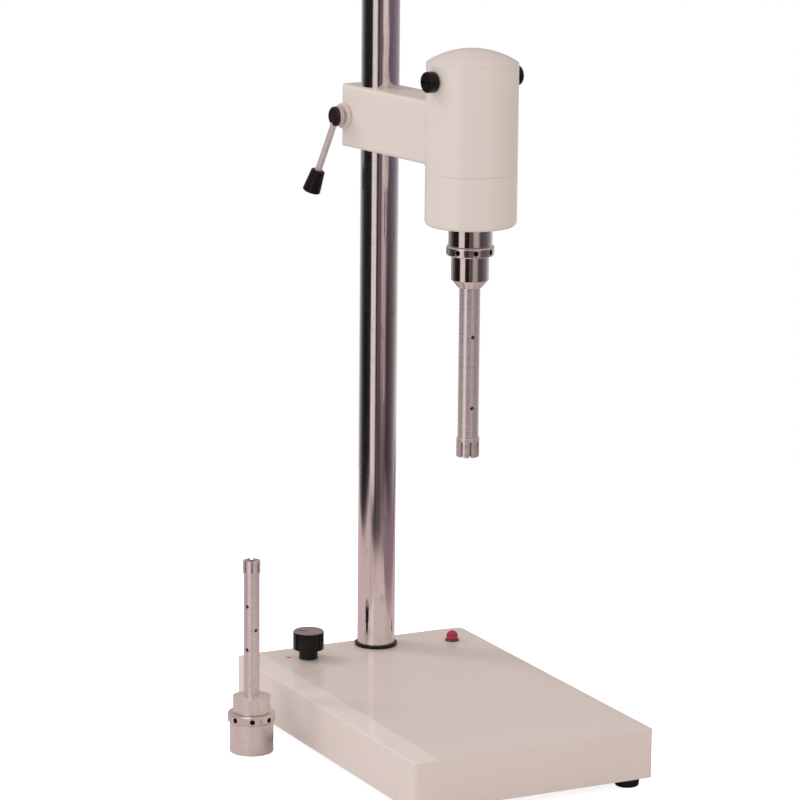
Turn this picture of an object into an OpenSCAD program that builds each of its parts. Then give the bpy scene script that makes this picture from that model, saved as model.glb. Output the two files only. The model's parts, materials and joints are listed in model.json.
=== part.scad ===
// High-speed homogenizer on a bench stand, with a second working head standing beside it.
// Millimetres, +Z up, the floor at z = 0. The stand's front faces -Y.
// Every piece is its own solid, placed where it sits when the machine is put together.

/* [Base] */
// Width of the base, left to right
base_w = 200; // [190:1:230]
// Depth of the base, front to back
base_d = 310; // [290:1:350]
// Height of the painted shell at its edges
base_h = 37.6; // [36:0.1:50]
// Sheet thickness of the shell
shell_t = 2; // [1.5:0.1:2.5]
// Radius of the shell's upright corners
corner_r = 3; // [2.6:0.1:6]
// Rise of the shell's top above its edges
crown_h = 0.6; // [0.4:0.1:1.6]
// Width of the sloping margin along each side
side_margin = 20; // [12:1:22]
// Width of the sloping margin along the front
front_margin = 34; // [20:1:45]
// Thickness of the bottom plate
plate_t = 3; // [2:0.5:4]
// Height of the rubber feet
foot_h = 8; // [6:1:12]
// Radius of the rubber feet at the plate
foot_r = 10; // [8:0.5:12]
// Distance from each foot's centre to the shell's sides
foot_inset = 14; // [13:0.5:20]

/* [Column] */
// Radius of the chromed column
column_r = 15; // [14:0.1:15.5]
// Length of the column above the base
column_l = 554; // [546:1:650]
// Column axis right of the base's middle
column_x = 14; // [8:1:18]
// Distance from the column axis to the back of the base
column_back = 17; // [17:0.5:24]
// Radius of the threaded spigot under the column
spigot_r = 8; // [7:0.5:9]
// Length of the spigot
spigot_l = 27; // [25:0.5:30]
// Thickness of the flange inside the base that holds the column
flange_t = 10; // [8:0.5:12]
// Thickness of the column's nut
column_nut_t = 10; // [8:0.5:12]
// Radius of the black ring at the column's foot
foot_ring_r = 17; // [16.5:0.1:17]
// Height of that ring
foot_ring_h = 2.5; // [1.5:0.1:4]

/* [Controls] */
// Distance from the speed knob's axis to the base's left side
knob_side = 47.5; // [40:0.5:55]
// Distance from the knob's axis to the back of the base
knob_back = 31; // [30:0.5:40]
// Radius of the knob's cap
knob_r = 12.2; // [10:0.1:14]
// Height of the knob's cap
knob_cap_h = 14.7; // [12:0.1:18]
// Radius of the knob's neck
knob_neck_r = 7.5; // [6.9:0.1:9]
// Height of the neck under the cap
knob_neck_h = 7.6; // [6:0.1:9]
// Turn of the knob from off to full speed, in degrees
knob_turn = 300; // [240:10:330]
// Distance from the pilot lamp's axis to the right-hand margin
lamp_inset = 5.7; // [5.7:0.1:20]
// Distance from the lamp's axis to the back of the base
lamp_back = 33.5; // [20:0.5:40]
// Radius of the lamp's lens
lens_r = 4.7; // [4.3:0.1:5]
// Height of the lens above its bezel
lens_h = 6.8; // [5:0.1:8]
// Distance from the mains inlet's middle to the base's left side
inlet_side = 48; // [44:1:54]
// Distance from the lead grommet's axis to the base's right side
grommet_side = 28; // [22:1:40]

/* [Arm] */
// Swing of the arm away from straight ahead, in degrees
arm_turn = 8.1; // [-20:0.1:30]
// Height of the arm's underside above the base
arm_lift = 401; // [380:1:440]
// Width of the arm
arm_w = 37; // [37:0.5:44]
// Height of the arm
arm_h = 49; // [44:1:54]
// Distance from the column axis to the motor axis
arm_reach = 122; // [112:1:140]
// Distance from the column axis to the arm's rear face
arm_rear = 27; // [24.2:0.1:28]
// Radius of the arm's long edges and rear corners
arm_edge_r = 3; // [1.5:0.5:5]
// Radius that blends the arm into the motor housing
blend_r = 12; // [6:1:16]
// Wall thickness of the castings
cast_t = 3; // [2.5:0.1:3.2]
// Wall of the split liner between the column and the arm
liner_t = 0.8; // [0.6:0.1:1]
// Width of the slit that lets the clamp close
slit_w = 2.5; // [1.5:0.5:4]

/* [Clamp lever] */
// Radius of the clamp stud
stud_r = 3; // [2.5:0.1:3]
// Radius of the washer under the lever
washer_r = 10; // [8:0.5:11]
// Thickness of that washer
washer_t = 3; // [2:0.5:4]
// Radius of the lever's hub
hub_r = 7.8; // [6:0.1:8.4]
// Length of the hub's barrel
hub_l = 7; // [6.5:0.5:9]
// Radius of the lever's rod
rod_r = 2.6; // [2:0.1:3]
// Length of the rod from the hub's middle to the grip
rod_l = 46; // [34:0.5:55]
// Length of the grip
grip_l = 18.5; // [16:0.5:30]
// Radius of the grip at its rod end
grip_r1 = 5.5; // [4:0.1:6.2]
// Radius of the grip at its free end
grip_r2 = 7.2; // [6.2:0.1:8]
// Angle by which the lever leans away from the arm
lever_flare = 10; // [8:1:25]
// Angle by which the hanging lever points backward
lever_back = 17; // [0:1:40]

/* [Motor housing] */
// Outer radius of the motor housing
motor_r = 35; // [34:0.5:38]
// Height of the housing above the arm's top
motor_rise = 32; // [30:1:38]
// Drop of the parting line below the arm's underside
parting_drop = 2; // [1:0.5:4]
// Height of the lower housing
lower_h = 41; // [40:0.5:46]
// Radius of the lower housing's bottom edge
lower_edge_r = 4; // [2:0.5:5]
// Height of the domed cap
dome_h = 10.5; // [9:0.5:14]
// Depth of the recess that takes the working head's sleeve
recess_d = 9; // [8:0.5:11]
// Distance from the housing's top rim down to the brush axis
brush_drop = 12.5; // [12:0.5:13.5]
// Radius of the brush caps
cap_r = 8; // [7.6:0.1:9]
// Length of the brush caps outside the housing
cap_l = 8; // [5:0.5:10]

/* [Motor] */
// Radius of the armature's core
core_r = 18.3; // [16:0.1:19]
// Length of the armature's core and of the field stack
core_l = 38; // [34:1:40]
// Number of armature slots
core_slots = 12; // [8:1:14]
// Radius of the commutator
commutator_r = 11; // [9:0.5:12]
// Length of the commutator
commutator_l = 14; // [12:0.5:14]
// Radius of the cooling fan
fan_r = 21.5; // [18:0.5:21.5]
// Number of fan blades
fan_blades = 11; // [7:1:15]
// Radius of the motor shaft in its lower bearing
shaft_r = 6; // [5.6:0.1:6]
// Air gap between the armature and the poles
air_gap = 0.6; // [0.4:0.1:1]

/* [Working heads] */
// Radius of the coupling sleeve
sleeve_r = 16.85; // [16:0.05:17]
// Length of the coupling sleeve
sleeve_l = 24; // [23:0.5:28]
// Radius of the motor's nose inside the sleeve
nose_r = 12.5; // [11.5:0.1:12.5]
// Radius of the lock ring
ring_r = 18.35; // [17.8:0.05:19]
// Height of the lock ring
ring_h = 7.5; // [6:0.5:9]
// Number of spanner holes in the lock ring
ring_holes = 8; // [6:1:10]
// Radius of the head's body
head_r = 14.5; // [13:0.1:15]
// Overall length of the mounted head
head_l = 188; // [175:1:195]
// Length of the mounted head's body
head_body_l = 18.6; // [12:0.1:24]
// Length of the taper below that body
head_taper_l = 6; // [2:0.5:8]
// Outer radius of the mounted stator tube
tube_r = 8; // [7.5:0.1:8.5]
// Outer radius of the slotted end of that tube
stator_r = 8.8; // [8.6:0.1:9.5]
// Length of that slotted end
stator_l = 15; // [14:0.1:20]
// Overall length of the spare head
spare_l = 151.2; // [140:0.1:160]
// Length of the spare head's body
spare_body_l = 12.4; // [10:0.1:16]
// Length of the taper above the spare's body
spare_taper_l = 2; // [1:0.5:4]
// Outer radius of the spare's stator tube
spare_tube_r = 6.1; // [5.8:0.1:6.6]
// Outer radius of the slotted end of the spare's tube
spare_stator_r = 6.8; // [6.7:0.1:7.6]
// Length of that slotted end
spare_stator_l = 10.2; // [9:0.1:14]
// Wall thickness of both stator tubes
tube_t = 1.2; // [1:0.1:1.4]
// Gap between each rotor and its stator
shear_gap = 0.35; // [0.3:0.05:0.5]
// Number of slots round each stator
stator_slots = 8; // [6:1:10]
// Width of the slots in the stators and rotors
slot_w = 1.7; // [1.4:0.1:2.4]
// Distance from the base's side to the spare head's axis
spare_gap = 33; // [26:1:60]
// Spare head's axis behind the base's middle
spare_y = 56; // [-60:1:90]

/* [Hidden] */
$fn = 96;

// Clearances: pieces that only pass, pieces that turn or slide in a bore, pieces that are fixed
gap = 0.3;
run = 0.04;
seat = 0.02;
eps = 1;

// Metric screws used in the base and the motor housing
m4_r = 2;
m4_head_r = 3.6;
m4_head_h = 2.4;

// Heights
shell_bottom = foot_h;
shell_edge = foot_h + base_h;
shell_top = shell_edge + crown_h;
shell_under = shell_top - shell_t;
plate_top = shell_bottom + plate_t;
column_top = shell_top + column_l;
arm_bottom = shell_top + arm_lift;
arm_top = arm_bottom + arm_h;
parting_z = arm_bottom - parting_drop;
housing_top = arm_top + motor_rise;
lower_z = parting_z - lower_h;
recess_z = lower_z + recess_d;
head_z = recess_z - gap;
brush_z = housing_top - brush_drop;
clamp_z = arm_bottom + arm_h / 2;

// Thickness of what stands out from the back of the base
rear_t = 2;

// Places of the pieces, measured from the middle of the base
spare_x = -base_w / 2 - spare_gap;
column_y = base_d / 2 - column_back;
knob_x = knob_side - base_w / 2;
knob_y = base_d / 2 - knob_back;
inlet_x = inlet_side - base_w / 2;
grommet_x = base_w / 2 - grommet_side;
lamp_x = base_w / 2 - side_margin - lamp_inset;
lamp_y = base_d / 2 - lamp_back;

// Liner, stud and hub of the clamp, measured from the column axis
liner_r = column_r + run + liner_t;
arm_bore_r = liner_r + run;
stud_y = (arm_bore_r + arm_rear) / 2;
hub_z0 = arm_w / 2 + washer_t + gap;
hub_neck = 1;
hub_mid = hub_z0 + hub_neck + hub_l / 2;

// The origin lies under the middle of the whole: from the spare head to the base's right side,
// and from the base's front to the end of the lever's grip
lever_l = rod_l + grip_l;
grip_edge = 0.8;
lever_dy = cos(lever_flare) * sin(lever_back) * cos(arm_turn) - sin(lever_flare) * sin(arm_turn);
lever_end_y = column_y + stud_y * cos(arm_turn) - hub_mid * sin(arm_turn) + lever_l * lever_dy
    - grip_edge * lever_dy + grip_r2 * sqrt(1 - lever_dy * lever_dy);
base_x = -(spare_x - ring_r + base_w / 2) / 2;
base_y = -(lever_end_y - base_d / 2) / 2;

module in_base() {
    translate([base_x, base_y, 0]) children();
}

module in_arm() {
    in_base() translate([column_x, column_y, 0]) rotate([0, 0, arm_turn]) children();
}

module in_motor() {
    in_arm() translate([0, -arm_reach, 0]) children();
}

module in_head() {
    in_motor() translate([0, 0, head_z]) children();
}

module in_spare() {
    in_base() translate([spare_x, spare_y, 0]) rotate([180, 0, 0]) children();
}

// Shapes that several pieces share

module rod(r, z0, z1) {
    translate([0, 0, z0]) cylinder(r = r, h = z1 - z0);
}

module tube(ro, ri, z0, z1) {
    difference() {
        rod(ro, z0, z1);
        rod(ri, z0 - eps, z1 + eps);
    }
}

// A turned piece from the half of its section, as points (radius, height)
module turned(points) {
    rotate_extrude() polygon(points);
}

module hex(across, z0, z1) {
    translate([0, 0, z0]) cylinder(d = across / cos(30), h = z1 - z0, $fn = 6);
}

module box(x0, x1, y0, y1, z0, z1) {
    translate([x0, y0, z0]) cube([x1 - x0, y1 - y0, z1 - z0]);
}

module rounded_plan(w, d, r) {
    square([w - 2 * r, d], center = true);
    square([w, d - 2 * r], center = true);
    for (sx = [-1, 1], sy = [-1, 1]) translate([sx * (w / 2 - r), sy * (d / 2 - r)]) circle(r);
}

// A revolved section with its outer top and bottom edges rounded by re
module rounded_ring(ro, ri, z0, z1, re) {
    rotate_extrude() {
        translate([ri, z0]) square([ro - re - ri, z1 - z0]);
        translate([ro - re - seat, z0 + re]) square([re + seat, z1 - z0 - 2 * re]);
        for (z = [z0 + re, z1 - re]) intersection() {
            translate([ro - re, z]) circle(re, $fn = 48);
            translate([ro - re - seat, z0]) square([re + eps, z1 - z0]);
        }
    }
}

// Base

// Block with a shallow crown: margins slope down to the sides and to the front
module crowned_block(w, d, z0, z1, r) {
    z_mid = z1 + crown_h;
    x_in = base_w / 2 - side_margin;
    y_in = -base_d / 2 + front_margin;
    intersection() {
        translate([0, d / 2, 0]) rotate([90, 0, 0]) linear_extrude(d) polygon([
            [-w / 2, z0], [w / 2, z0], [w / 2, z1], [x_in, z_mid], [-x_in, z_mid], [-w / 2, z1]
        ]);
        rotate([90, 0, 90]) translate([0, 0, -w / 2]) linear_extrude(w) polygon([
            [-d / 2, z0], [d / 2, z0], [d / 2, z_mid], [y_in, z_mid], [-d / 2, z1]
        ]);
        translate([0, 0, z0]) linear_extrude(z_mid - z0) rounded_plan(w, d, r);
    }
}

lug_w = 13;
lug_h = 9;
lug_x = base_w / 2 - shell_t - lug_w / 2;
lug_ys = [for (k = [-1, 0, 1]) k * base_d * 0.32];
fitting_z = (plate_top + shell_edge - shell_t) / 2;
pot_thread_r = 3.5;
lamp_body_r = 4;
inlet_w = 27;
inlet_h = 19.6;
grommet_r = 8;
grommet_neck_r = 6;

module base_shell() {
    color("wheat") in_base() difference() {
        union() {
            difference() {
                crowned_block(base_w, base_d, shell_bottom, shell_edge, corner_r);
                crowned_block(base_w - 2 * shell_t, base_d - 2 * shell_t,
                    shell_bottom - eps, shell_edge - shell_t, corner_r - shell_t + 0.5);
            }
            for (sx = [-1, 1], y = lug_ys)
                translate([sx * (lug_x + shell_t / 4) - lug_w / 2, y - lug_w / 2, plate_top])
                    cube([lug_w, lug_w, lug_h]);
        }
        for (sx = [-1, 1], y = lug_ys) translate([sx * lug_x, y, 0])
            rod(m4_r + seat, plate_top - eps, plate_top + lug_h + eps);
        translate([column_x, column_y, 0]) rod(spigot_r + gap, shell_under - eps, shell_top + eps);
        translate([knob_x, knob_y, 0]) rod(pot_thread_r + seat, shell_under - eps, shell_top + eps);
        translate([lamp_x, lamp_y, 0]) rod(lamp_body_r + seat, shell_under - eps, shell_top + eps);
        translate([inlet_x, base_d / 2, fitting_z])
            cube([inlet_w + gap, 4 * shell_t, inlet_h + gap], center = true);
        translate([grommet_x, base_d / 2 + eps, fitting_z]) rotate([90, 0, 0])
            cylinder(r = grommet_neck_r + seat, h = shell_t + 2 * eps);
    }
}

feet_xy = [for (sx = [-1, 1], sy = [-1, 1])
    [sx * (base_w / 2 - foot_inset), sy * (base_d / 2 - foot_inset)]];
foot_recess_h = foot_h / 2;
vent_w = 3;
vent_l = 40;

module bottom_plate() {
    color("silver") in_base() difference() {
        translate([0, 0, shell_bottom]) linear_extrude(plate_t)
            rounded_plan(base_w - 2 * (shell_t + gap), base_d - 2 * (shell_t + gap), corner_r);
        for (sx = [-1, 1], y = lug_ys) translate([sx * lug_x, y, 0])
            rod(m4_r + seat, shell_bottom - eps, plate_top + eps);
        for (p = feet_xy) translate(p) rod(m4_r + seat, shell_bottom - eps, plate_top + eps);
        for (p = board_xy) translate(p) rod(m3_r + seat, shell_bottom - eps, plate_top + eps);
        for (k = [-3:3]) translate([k * 10, -base_d * 0.3, shell_bottom + plate_t / 2])
            cube([vent_w, vent_l, plate_t + 2 * eps], center = true);
    }
}

m4_l = 10;

module m4_screw(z) {
    rod(m4_r, z, z + m4_l);
    difference() {
        rounded_ring(m4_head_r, 0, z - m4_head_h, z, 0.8);
        hex(2.5, z - m4_head_h - eps, z - m4_head_h / 2);
    }
}

module base_screws() {
    color("dimgray") in_base() {
        for (sx = [-1, 1], y = lug_ys) translate([sx * lug_x, y, 0]) m4_screw(shell_bottom);
        for (p = feet_xy) translate(p) m4_screw(foot_recess_h);
    }
}

module rubber_feet() {
    color("#222222") in_base() for (p = feet_xy) translate(p) difference() {
        rotate_extrude() polygon([[0, 0], [foot_r - 1.5, 0], [foot_r - 1, 1], [foot_r, foot_h], [0, foot_h]]);
        rod(m4_head_r + gap, -eps, foot_recess_h);
        rod(m4_r + seat, 0, foot_h + eps);
    }
}

// Column

flange_w = 56;
flange_front = 26;
flange_z = shell_under - flange_t;
nut_across = 3 * spigot_r;

module column_flange() {
    color("dimgray") in_base() translate([column_x, column_y, 0]) difference() {
        box(-flange_w / 2, flange_w / 2, -flange_front, column_back - shell_t - gap, flange_z, shell_under);
        rod(spigot_r + seat, flange_z - eps, shell_under + eps);
    }
}

module column() {
    c = 1.5;
    color("gainsboro") in_base() translate([column_x, column_y, 0]) turned([
        [0, shell_top - spigot_l], [spigot_r - 1, shell_top - spigot_l], [spigot_r, shell_top - spigot_l + 1],
        [spigot_r, shell_top], [column_r, shell_top], [column_r, column_top - c],
        [column_r - c, column_top], [0, column_top]
    ]);
}

module column_nut() {
    color("silver") in_base() translate([column_x, column_y, 0]) difference() {
        hex(nut_across, flange_z - column_nut_t, flange_z);
        rod(spigot_r + seat, flange_z - column_nut_t - eps, flange_z + eps);
    }
}

module column_foot_ring() {
    color("#181818") in_base() translate([column_x, column_y, 0])
        rounded_ring(foot_ring_r, column_r + seat, shell_top, shell_top + foot_ring_h, 0.6);
}

// Speed control

pot_r = 12;
pot_h = 11;
pot_shaft_r = 3;
pot_thread_h = 5;
pot_nut_across = 10;
pot_nut_h = 2;
pot_shaft_z = shell_under - pot_h + 3;
knob_z = shell_top + gap;
knob_cap_z = knob_z + knob_neck_h;
knob_top = knob_cap_z + knob_cap_h;
knob_bore_z = knob_cap_z + 8;
knob_recess_r = pot_nut_across / 2 / cos(30) + gap;
knob_recess_h = pot_thread_h + gap;

module at_knob() {
    in_base() translate([knob_x, knob_y, 0]) children();
}

module potentiometer() {
    color("slategray") at_knob() difference() {
        union() {
            rod(pot_r, shell_under - pot_h, shell_under);
            rod(pot_thread_r, shell_under, shell_top + pot_thread_h);
            for (k = [-1, 0, 1]) translate([k * 5, -pot_r - 2, shell_under - pot_h + 2])
                cube([2, 6, 0.8], center = true);
        }
        rod(pot_shaft_r + run, pot_shaft_z - gap, shell_top + pot_thread_h + eps);
    }
}

module pot_nut() {
    color("silver") at_knob() difference() {
        hex(pot_nut_across, shell_top, shell_top + pot_nut_h);
        rod(pot_thread_r + seat, shell_top - eps, shell_top + pot_nut_h + eps);
    }
}

module pot_shaft() {
    color("silver") at_knob() rod(pot_shaft_r, pot_shaft_z, knob_bore_z - gap);
}

module speed_knob() {
    color("#1c1c1c") at_knob() difference() {
        union() {
            rod(knob_neck_r, knob_z, knob_cap_z + eps);
            rounded_ring(knob_r, 0, knob_cap_z, knob_top, 1);
        }
        rod(knob_recess_r, knob_z - eps, knob_z + knob_recess_h);
        rod(pot_shaft_r + seat, knob_z, knob_bore_z);
        rotate([0, 0, 150]) translate([knob_r / 2, 0, knob_top]) cube([knob_r, 1, 0.8], center = true);
    }
}

// Pilot lamp

bezel_r = lens_r + 0.9;
bezel_h = 1.5;
lamp_body_h = 18;
lamp_nut_h = 2.5;
lamp_nut_across = 11;

module lamp_housing() {
    color("#303030") in_base() translate([lamp_x, lamp_y, 0]) {
        difference() {
            rounded_ring(bezel_r, 0, shell_top, shell_top + bezel_h, 0.4);
            rod(lens_r - 0.6 + seat, shell_top + 0.6, shell_top + bezel_h + eps);
        }
        rod(lamp_body_r, shell_under - lamp_body_h, shell_top);
        rotate([0, 0, 30]) hex(lamp_nut_across, shell_under - lamp_nut_h, shell_under);
    }
}

module lamp_lens() {
    z = shell_top + bezel_h;
    side = lens_h * 0.4;
    rise = lens_h - side;
    ball_r = (lens_r * lens_r + rise * rise) / (2 * rise);
    color("red") in_base() translate([lamp_x, lamp_y, 0]) {
        rod(lens_r - 0.6, shell_top + 0.6 + seat, z);
        rod(lens_r, z, z + side);
        intersection() {
            translate([0, 0, z + lens_h - ball_r]) sphere(ball_r);
            rod(lens_r, z + side, z + lens_h + eps);
        }
    }
}

// Electronics

m3_r = 1.5;
board_w = 90;
board_d = 66;
board_t = 1.6;
board_y = 52;
board_lift = 6;
board_z = plate_top + board_lift;
board_xy = [for (sx = [-1, 1], sy = [-1, 1])
    [sx * (board_w / 2 - 5), board_y + sy * (board_d / 2 - 5)]];

sink_w = 28;
sink_d = 24;
sink_h = 18;
sink_foot = 3;
choke_w = 26;
choke_d = 10;
choke_h = 15;
can_r = 6;
can_h = 16;

module control_board() {
    color("darkgreen") in_base() difference() {
        translate([0, board_y, board_z + board_t / 2]) cube([board_w, board_d, board_t], center = true);
        for (p = board_xy) translate(p) rod(m3_r + seat, board_z - eps, board_z + board_t + eps);
    }
}

module board_standoffs() {
    color("silver") in_base() for (p = board_xy) translate(p) {
        hex(5.5, plate_top, board_z);
        rod(m3_r, board_z - eps, board_z + board_t);
        hex(5.5, board_z + board_t, board_z + board_t + 2.4);
        rod(m3_r, shell_bottom + 0.5, plate_top + eps);
    }
}

module board_parts() {
    z = board_z + board_t;
    color("darkslateblue") in_base() translate([0, board_y, 0]) {
        translate([-board_w / 4, 0, z]) difference() {
            box(-sink_w / 2, sink_w / 2, -sink_d / 2, sink_d / 2, 0, sink_h);
            for (k = [-3:3]) translate([k * sink_w / 7, 0, sink_h])
                cube([sink_w / 13, 2 * sink_d, 2 * (sink_h - sink_foot)], center = true);
        }
        translate([board_w / 6, board_d / 5, z]) box(-choke_w / 2, choke_w / 2, -choke_d / 2, choke_d / 2, 0, choke_h);
        translate([board_w / 8, -board_d / 3.5, z]) box(-choke_w / 2, choke_w / 2, -choke_d / 2, choke_d / 2, 0, choke_d);
        translate([board_w / 6, -board_d / 20, z]) rod(can_r, 0, can_h);
        translate([board_w / 2.6, -board_d / 10, z]) rod(can_r * 0.7, 0, can_h * 0.75);
    }
}

inlet_depth = 16;
inlet_flange_w = 48;
inlet_flange_h = 23;
pin_tip = 5.4;

// Inlet with a hollow for the plug and three flat pins set back from its mouth
module mains_inlet() {
    color("#202020") in_base() translate([inlet_x, base_d / 2, fitting_z]) {
        difference() {
            union() {
                translate([0, rear_t / 2, 0]) cube([inlet_flange_w, rear_t, inlet_flange_h], center = true);
                translate([0, -inlet_depth / 2 + rear_t / 2, 0])
                    cube([inlet_w, inlet_depth + rear_t, inlet_h], center = true);
            }
            translate([0, 1.5 + eps - inlet_depth / 2 + rear_t / 2, 0])
                cube([inlet_w - 3, inlet_depth + rear_t - 3 + 2 * eps, inlet_h - 3], center = true);
            for (sx = [-1, 1]) translate([sx * 20, rear_t + eps, 0]) rotate([90, 0, 0])
                cylinder(r = 1.6, h = rear_t + 2 * eps);
        }
        for (p = [[-7, -2], [0, 2], [7, -2]]) translate([p[0], 0, p[1]])
            box(-1, 1, -inlet_depth + 1, rear_t - pin_tip, -2, 2);
    }
}

module grommet(wall) {
    rotate_extrude() polygon([
        [0, -0.5], [grommet_neck_r - 2, -0.5], [grommet_neck_r - 2, -wall - rear_t + 0.5],
        [grommet_neck_r - 1.5, -wall - rear_t], [grommet_r, -wall - rear_t], [grommet_r, -wall - seat],
        [grommet_neck_r, -wall - seat], [grommet_neck_r, seat], [grommet_r, seat],
        [grommet_r, rear_t - 0.6], [grommet_r - 0.6, rear_t], [grommet_neck_r - 2, rear_t],
        [grommet_neck_r - 2, 0.5], [0, 0.5]
    ]);
}

module base_grommet() {
    color("#222222") in_base() translate([grommet_x, base_d / 2, fitting_z])
        rotate([-90, 0, 0]) grommet(shell_t);
}

// Arm and motor castings

bore_r = motor_r - cast_t;
bridge_t = 3.2;
holder_r = 6.4;
bridge_z = brush_z + max(commutator_l / 2, holder_r) + gap;
boss_r = 4.5;
boss_at = bore_r - boss_r + 0.5;
boss_h = 7;
boss_angles = [40, 140, 220, 320];
bearing_t = 7;
bearing_r = 11;
bearing_z = bridge_z + bridge_t;
rim_t = 2.4;
seam = 0.35;
grommet_z = housing_top - 24;
grommet_turn = -50;
spot_d = 1;
spot_wall = cast_t - spot_d - gap;

module column_liner() {
    color("ivory") in_arm() difference() {
        tube(liner_r, column_r + run, arm_bottom, arm_top);
        box(-slit_w / 2, slit_w / 2, 0, liner_r + eps, arm_bottom - eps, arm_top + eps);
    }
}

// Arm with rounded long edges and rounded rear corners
module arm_bar() {
    intersection() {
        translate([0, arm_rear, 0]) rotate([90, 0, 0]) linear_extrude(arm_rear + arm_reach)
            translate([0, clamp_z]) rounded_plan(arm_w, arm_h, arm_edge_r);
        translate([0, (arm_rear - arm_reach) / 2, arm_bottom]) linear_extrude(arm_h)
            rounded_plan(arm_w, arm_rear + arm_reach, arm_edge_r);
    }
}

// Web in each corner between the arm's side and the round housing, hollowed to a fillet
module arm_blend() {
    cx = arm_w / 2 + blend_r;
    cy = sqrt(pow(motor_r + blend_r, 2) - cx * cx);
    k = motor_r / (motor_r + blend_r);
    for (sx = [0, 1]) mirror([sx, 0, 0]) translate([0, -arm_reach, arm_bottom]) difference() {
        linear_extrude(arm_h) polygon([[0, cy - eps], [0, cy], [cx, cy], [cx * k, cy * k], [0, cy * k]]);
        translate([cx, cy, -eps]) cylinder(r = blend_r, h = arm_h + 2 * eps);
    }
}

module in_motor_axis() {
    translate([0, -arm_reach, 0]) children();
}

module arm_casting() {
    wire_w = arm_w - 2 * cast_t - 3;
    color("wheat") in_arm() difference() {
        union() {
            arm_bar();
            arm_blend();
            in_motor_axis() turned([
                [0, parting_z], [motor_r - seam, parting_z], [motor_r, parting_z + seam],
                [motor_r, housing_top - seam], [motor_r - seam, housing_top], [0, housing_top]
            ]);
        }
        in_motor_axis() rod(bore_r, parting_z - eps, bridge_z);
        in_motor_axis() rod(bore_r, bridge_z + bridge_t, housing_top + eps);
        box(-wire_w / 2, wire_w / 2, -arm_reach, -arm_bore_r - 7, arm_bottom + 4, arm_top - 4);
        rod(arm_bore_r, arm_bottom - eps, arm_top + eps);
        box(-slit_w / 2, slit_w / 2, 0, arm_rear + eps, arm_bottom - eps, arm_top + eps);
        translate([0, stud_y, clamp_z]) rotate([0, 90, 0])
            rod(stud_r + run, -arm_w / 2 - eps, arm_w / 2 + eps);
        in_motor_axis() {
            rod(8, bridge_z - eps, bridge_z + bridge_t + eps);
            for (sx = [-1, 1]) translate([0, 0, brush_z]) rotate([0, sx * 90, 0])
                rod(holder_r + seat, bore_r - 5, motor_r + eps);
            rotate([0, 0, grommet_turn]) translate([0, 0, grommet_z]) rotate([-90, 0, 0]) {
                rod(grommet_neck_r + seat, bore_r - 5, motor_r + eps);
                rod(grommet_r + 1, motor_r - spot_d, motor_r + eps);
                rod(grommet_r + 0.5, bore_r - 5, motor_r - spot_d - spot_wall);
            }
        }
    }
    color("wheat") in_motor() {
        tube(bearing_r + 3, bearing_r + seat, bridge_z + bridge_t, bearing_z + bearing_t);
        for (a = boss_angles) rotate([0, 0, a]) translate([boss_at, 0, 0]) intersection() {
            tube(boss_r, m4_r + seat, parting_z, parting_z + boss_h);
            translate([-boss_at, 0, 0]) rod(bore_r + cast_t / 2, parting_z, parting_z + boss_h);
        }
    }
}

module motor_grommet() {
    color("#222222") in_motor() rotate([0, 0, grommet_turn]) translate([0, motor_r - spot_d, grommet_z])
        rotate([-90, 0, 0]) grommet(spot_wall);
}

module motor_dome() {
    ball_r = (motor_r * motor_r + dome_h * dome_h) / (2 * dome_h);
    ball_z = housing_top + dome_h - ball_r;
    color("wheat") in_motor() {
        difference() {
            intersection() {
                translate([0, 0, ball_z]) sphere(ball_r, $fn = 128);
                rod(motor_r - seam, housing_top, housing_top + dome_h + eps);
            }
            intersection() {
                translate([0, 0, ball_z]) sphere(ball_r - rim_t, $fn = 128);
                rod(bore_r - rim_t, housing_top - eps, housing_top + dome_h);
            }
        }
        tube(bore_r - seat, bore_r - rim_t, bridge_z + bridge_t + gap, housing_top);
    }
}

bearing2_r = 14;
bearing2_t = 8;
floor_t = 4;
floor_z = recess_z + floor_t;
nose_flange_t = 3;
bearing2_z = floor_z + nose_flange_t;
pocket_top = bearing2_z + bearing2_t;
recess_r = sleeve_r + gap;
head_recess_z = lower_z + 5;

module lower_housing() {
    color("wheat") in_motor() {
        difference() {
            union() {
                rounded_ring(motor_r, 0, lower_z, parting_z - lower_edge_r, lower_edge_r);
                translate([0, 0, parting_z]) turned([
                    [0, -2 * lower_edge_r], [motor_r, -2 * lower_edge_r], [motor_r, -seam],
                    [motor_r - seam, 0], [0, 0]
                ]);
            }
            rod(bore_r, floor_z, parting_z + eps);
            rod(recess_r, lower_z - eps, recess_z);
            rod(nose_r + seat, lower_z, floor_z + eps);
            for (a = boss_angles) rotate([0, 0, a]) translate([boss_at, 0, 0]) {
                rod(m4_head_r + gap, lower_z - eps, head_recess_z);
                rod(m4_r + seat, lower_z, parting_z);
            }
            tube(bore_r - 0.5, recess_r + 3, lower_z + 8, floor_z + eps);
        }
        tube(bearing2_r + 3, bearing2_r + seat, floor_z - eps, pocket_top);
        for (a = boss_angles) rotate([0, 0, a]) translate([boss_at, 0, 0]) intersection() {
            tube(boss_r, m4_r + seat, head_recess_z, parting_z);
            translate([-boss_at, 0, 0]) rod(bore_r + cast_t / 2, lower_z, parting_z);
        }
    }
}

module housing_screws() {
    color("dimgray") in_motor() for (a = boss_angles) rotate([0, 0, a]) translate([boss_at, 0, 0]) {
        rod(m4_r, head_recess_z, parting_z + boss_h);
        difference() {
            rounded_ring(m4_head_r, 0, head_recess_z - 3, head_recess_z, 0.5);
            hex(3, head_recess_z - 3 - eps, head_recess_z - 1.4);
        }
    }
}

nose_z = head_z - 19.6;
nose_bore_r = 8;

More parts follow.
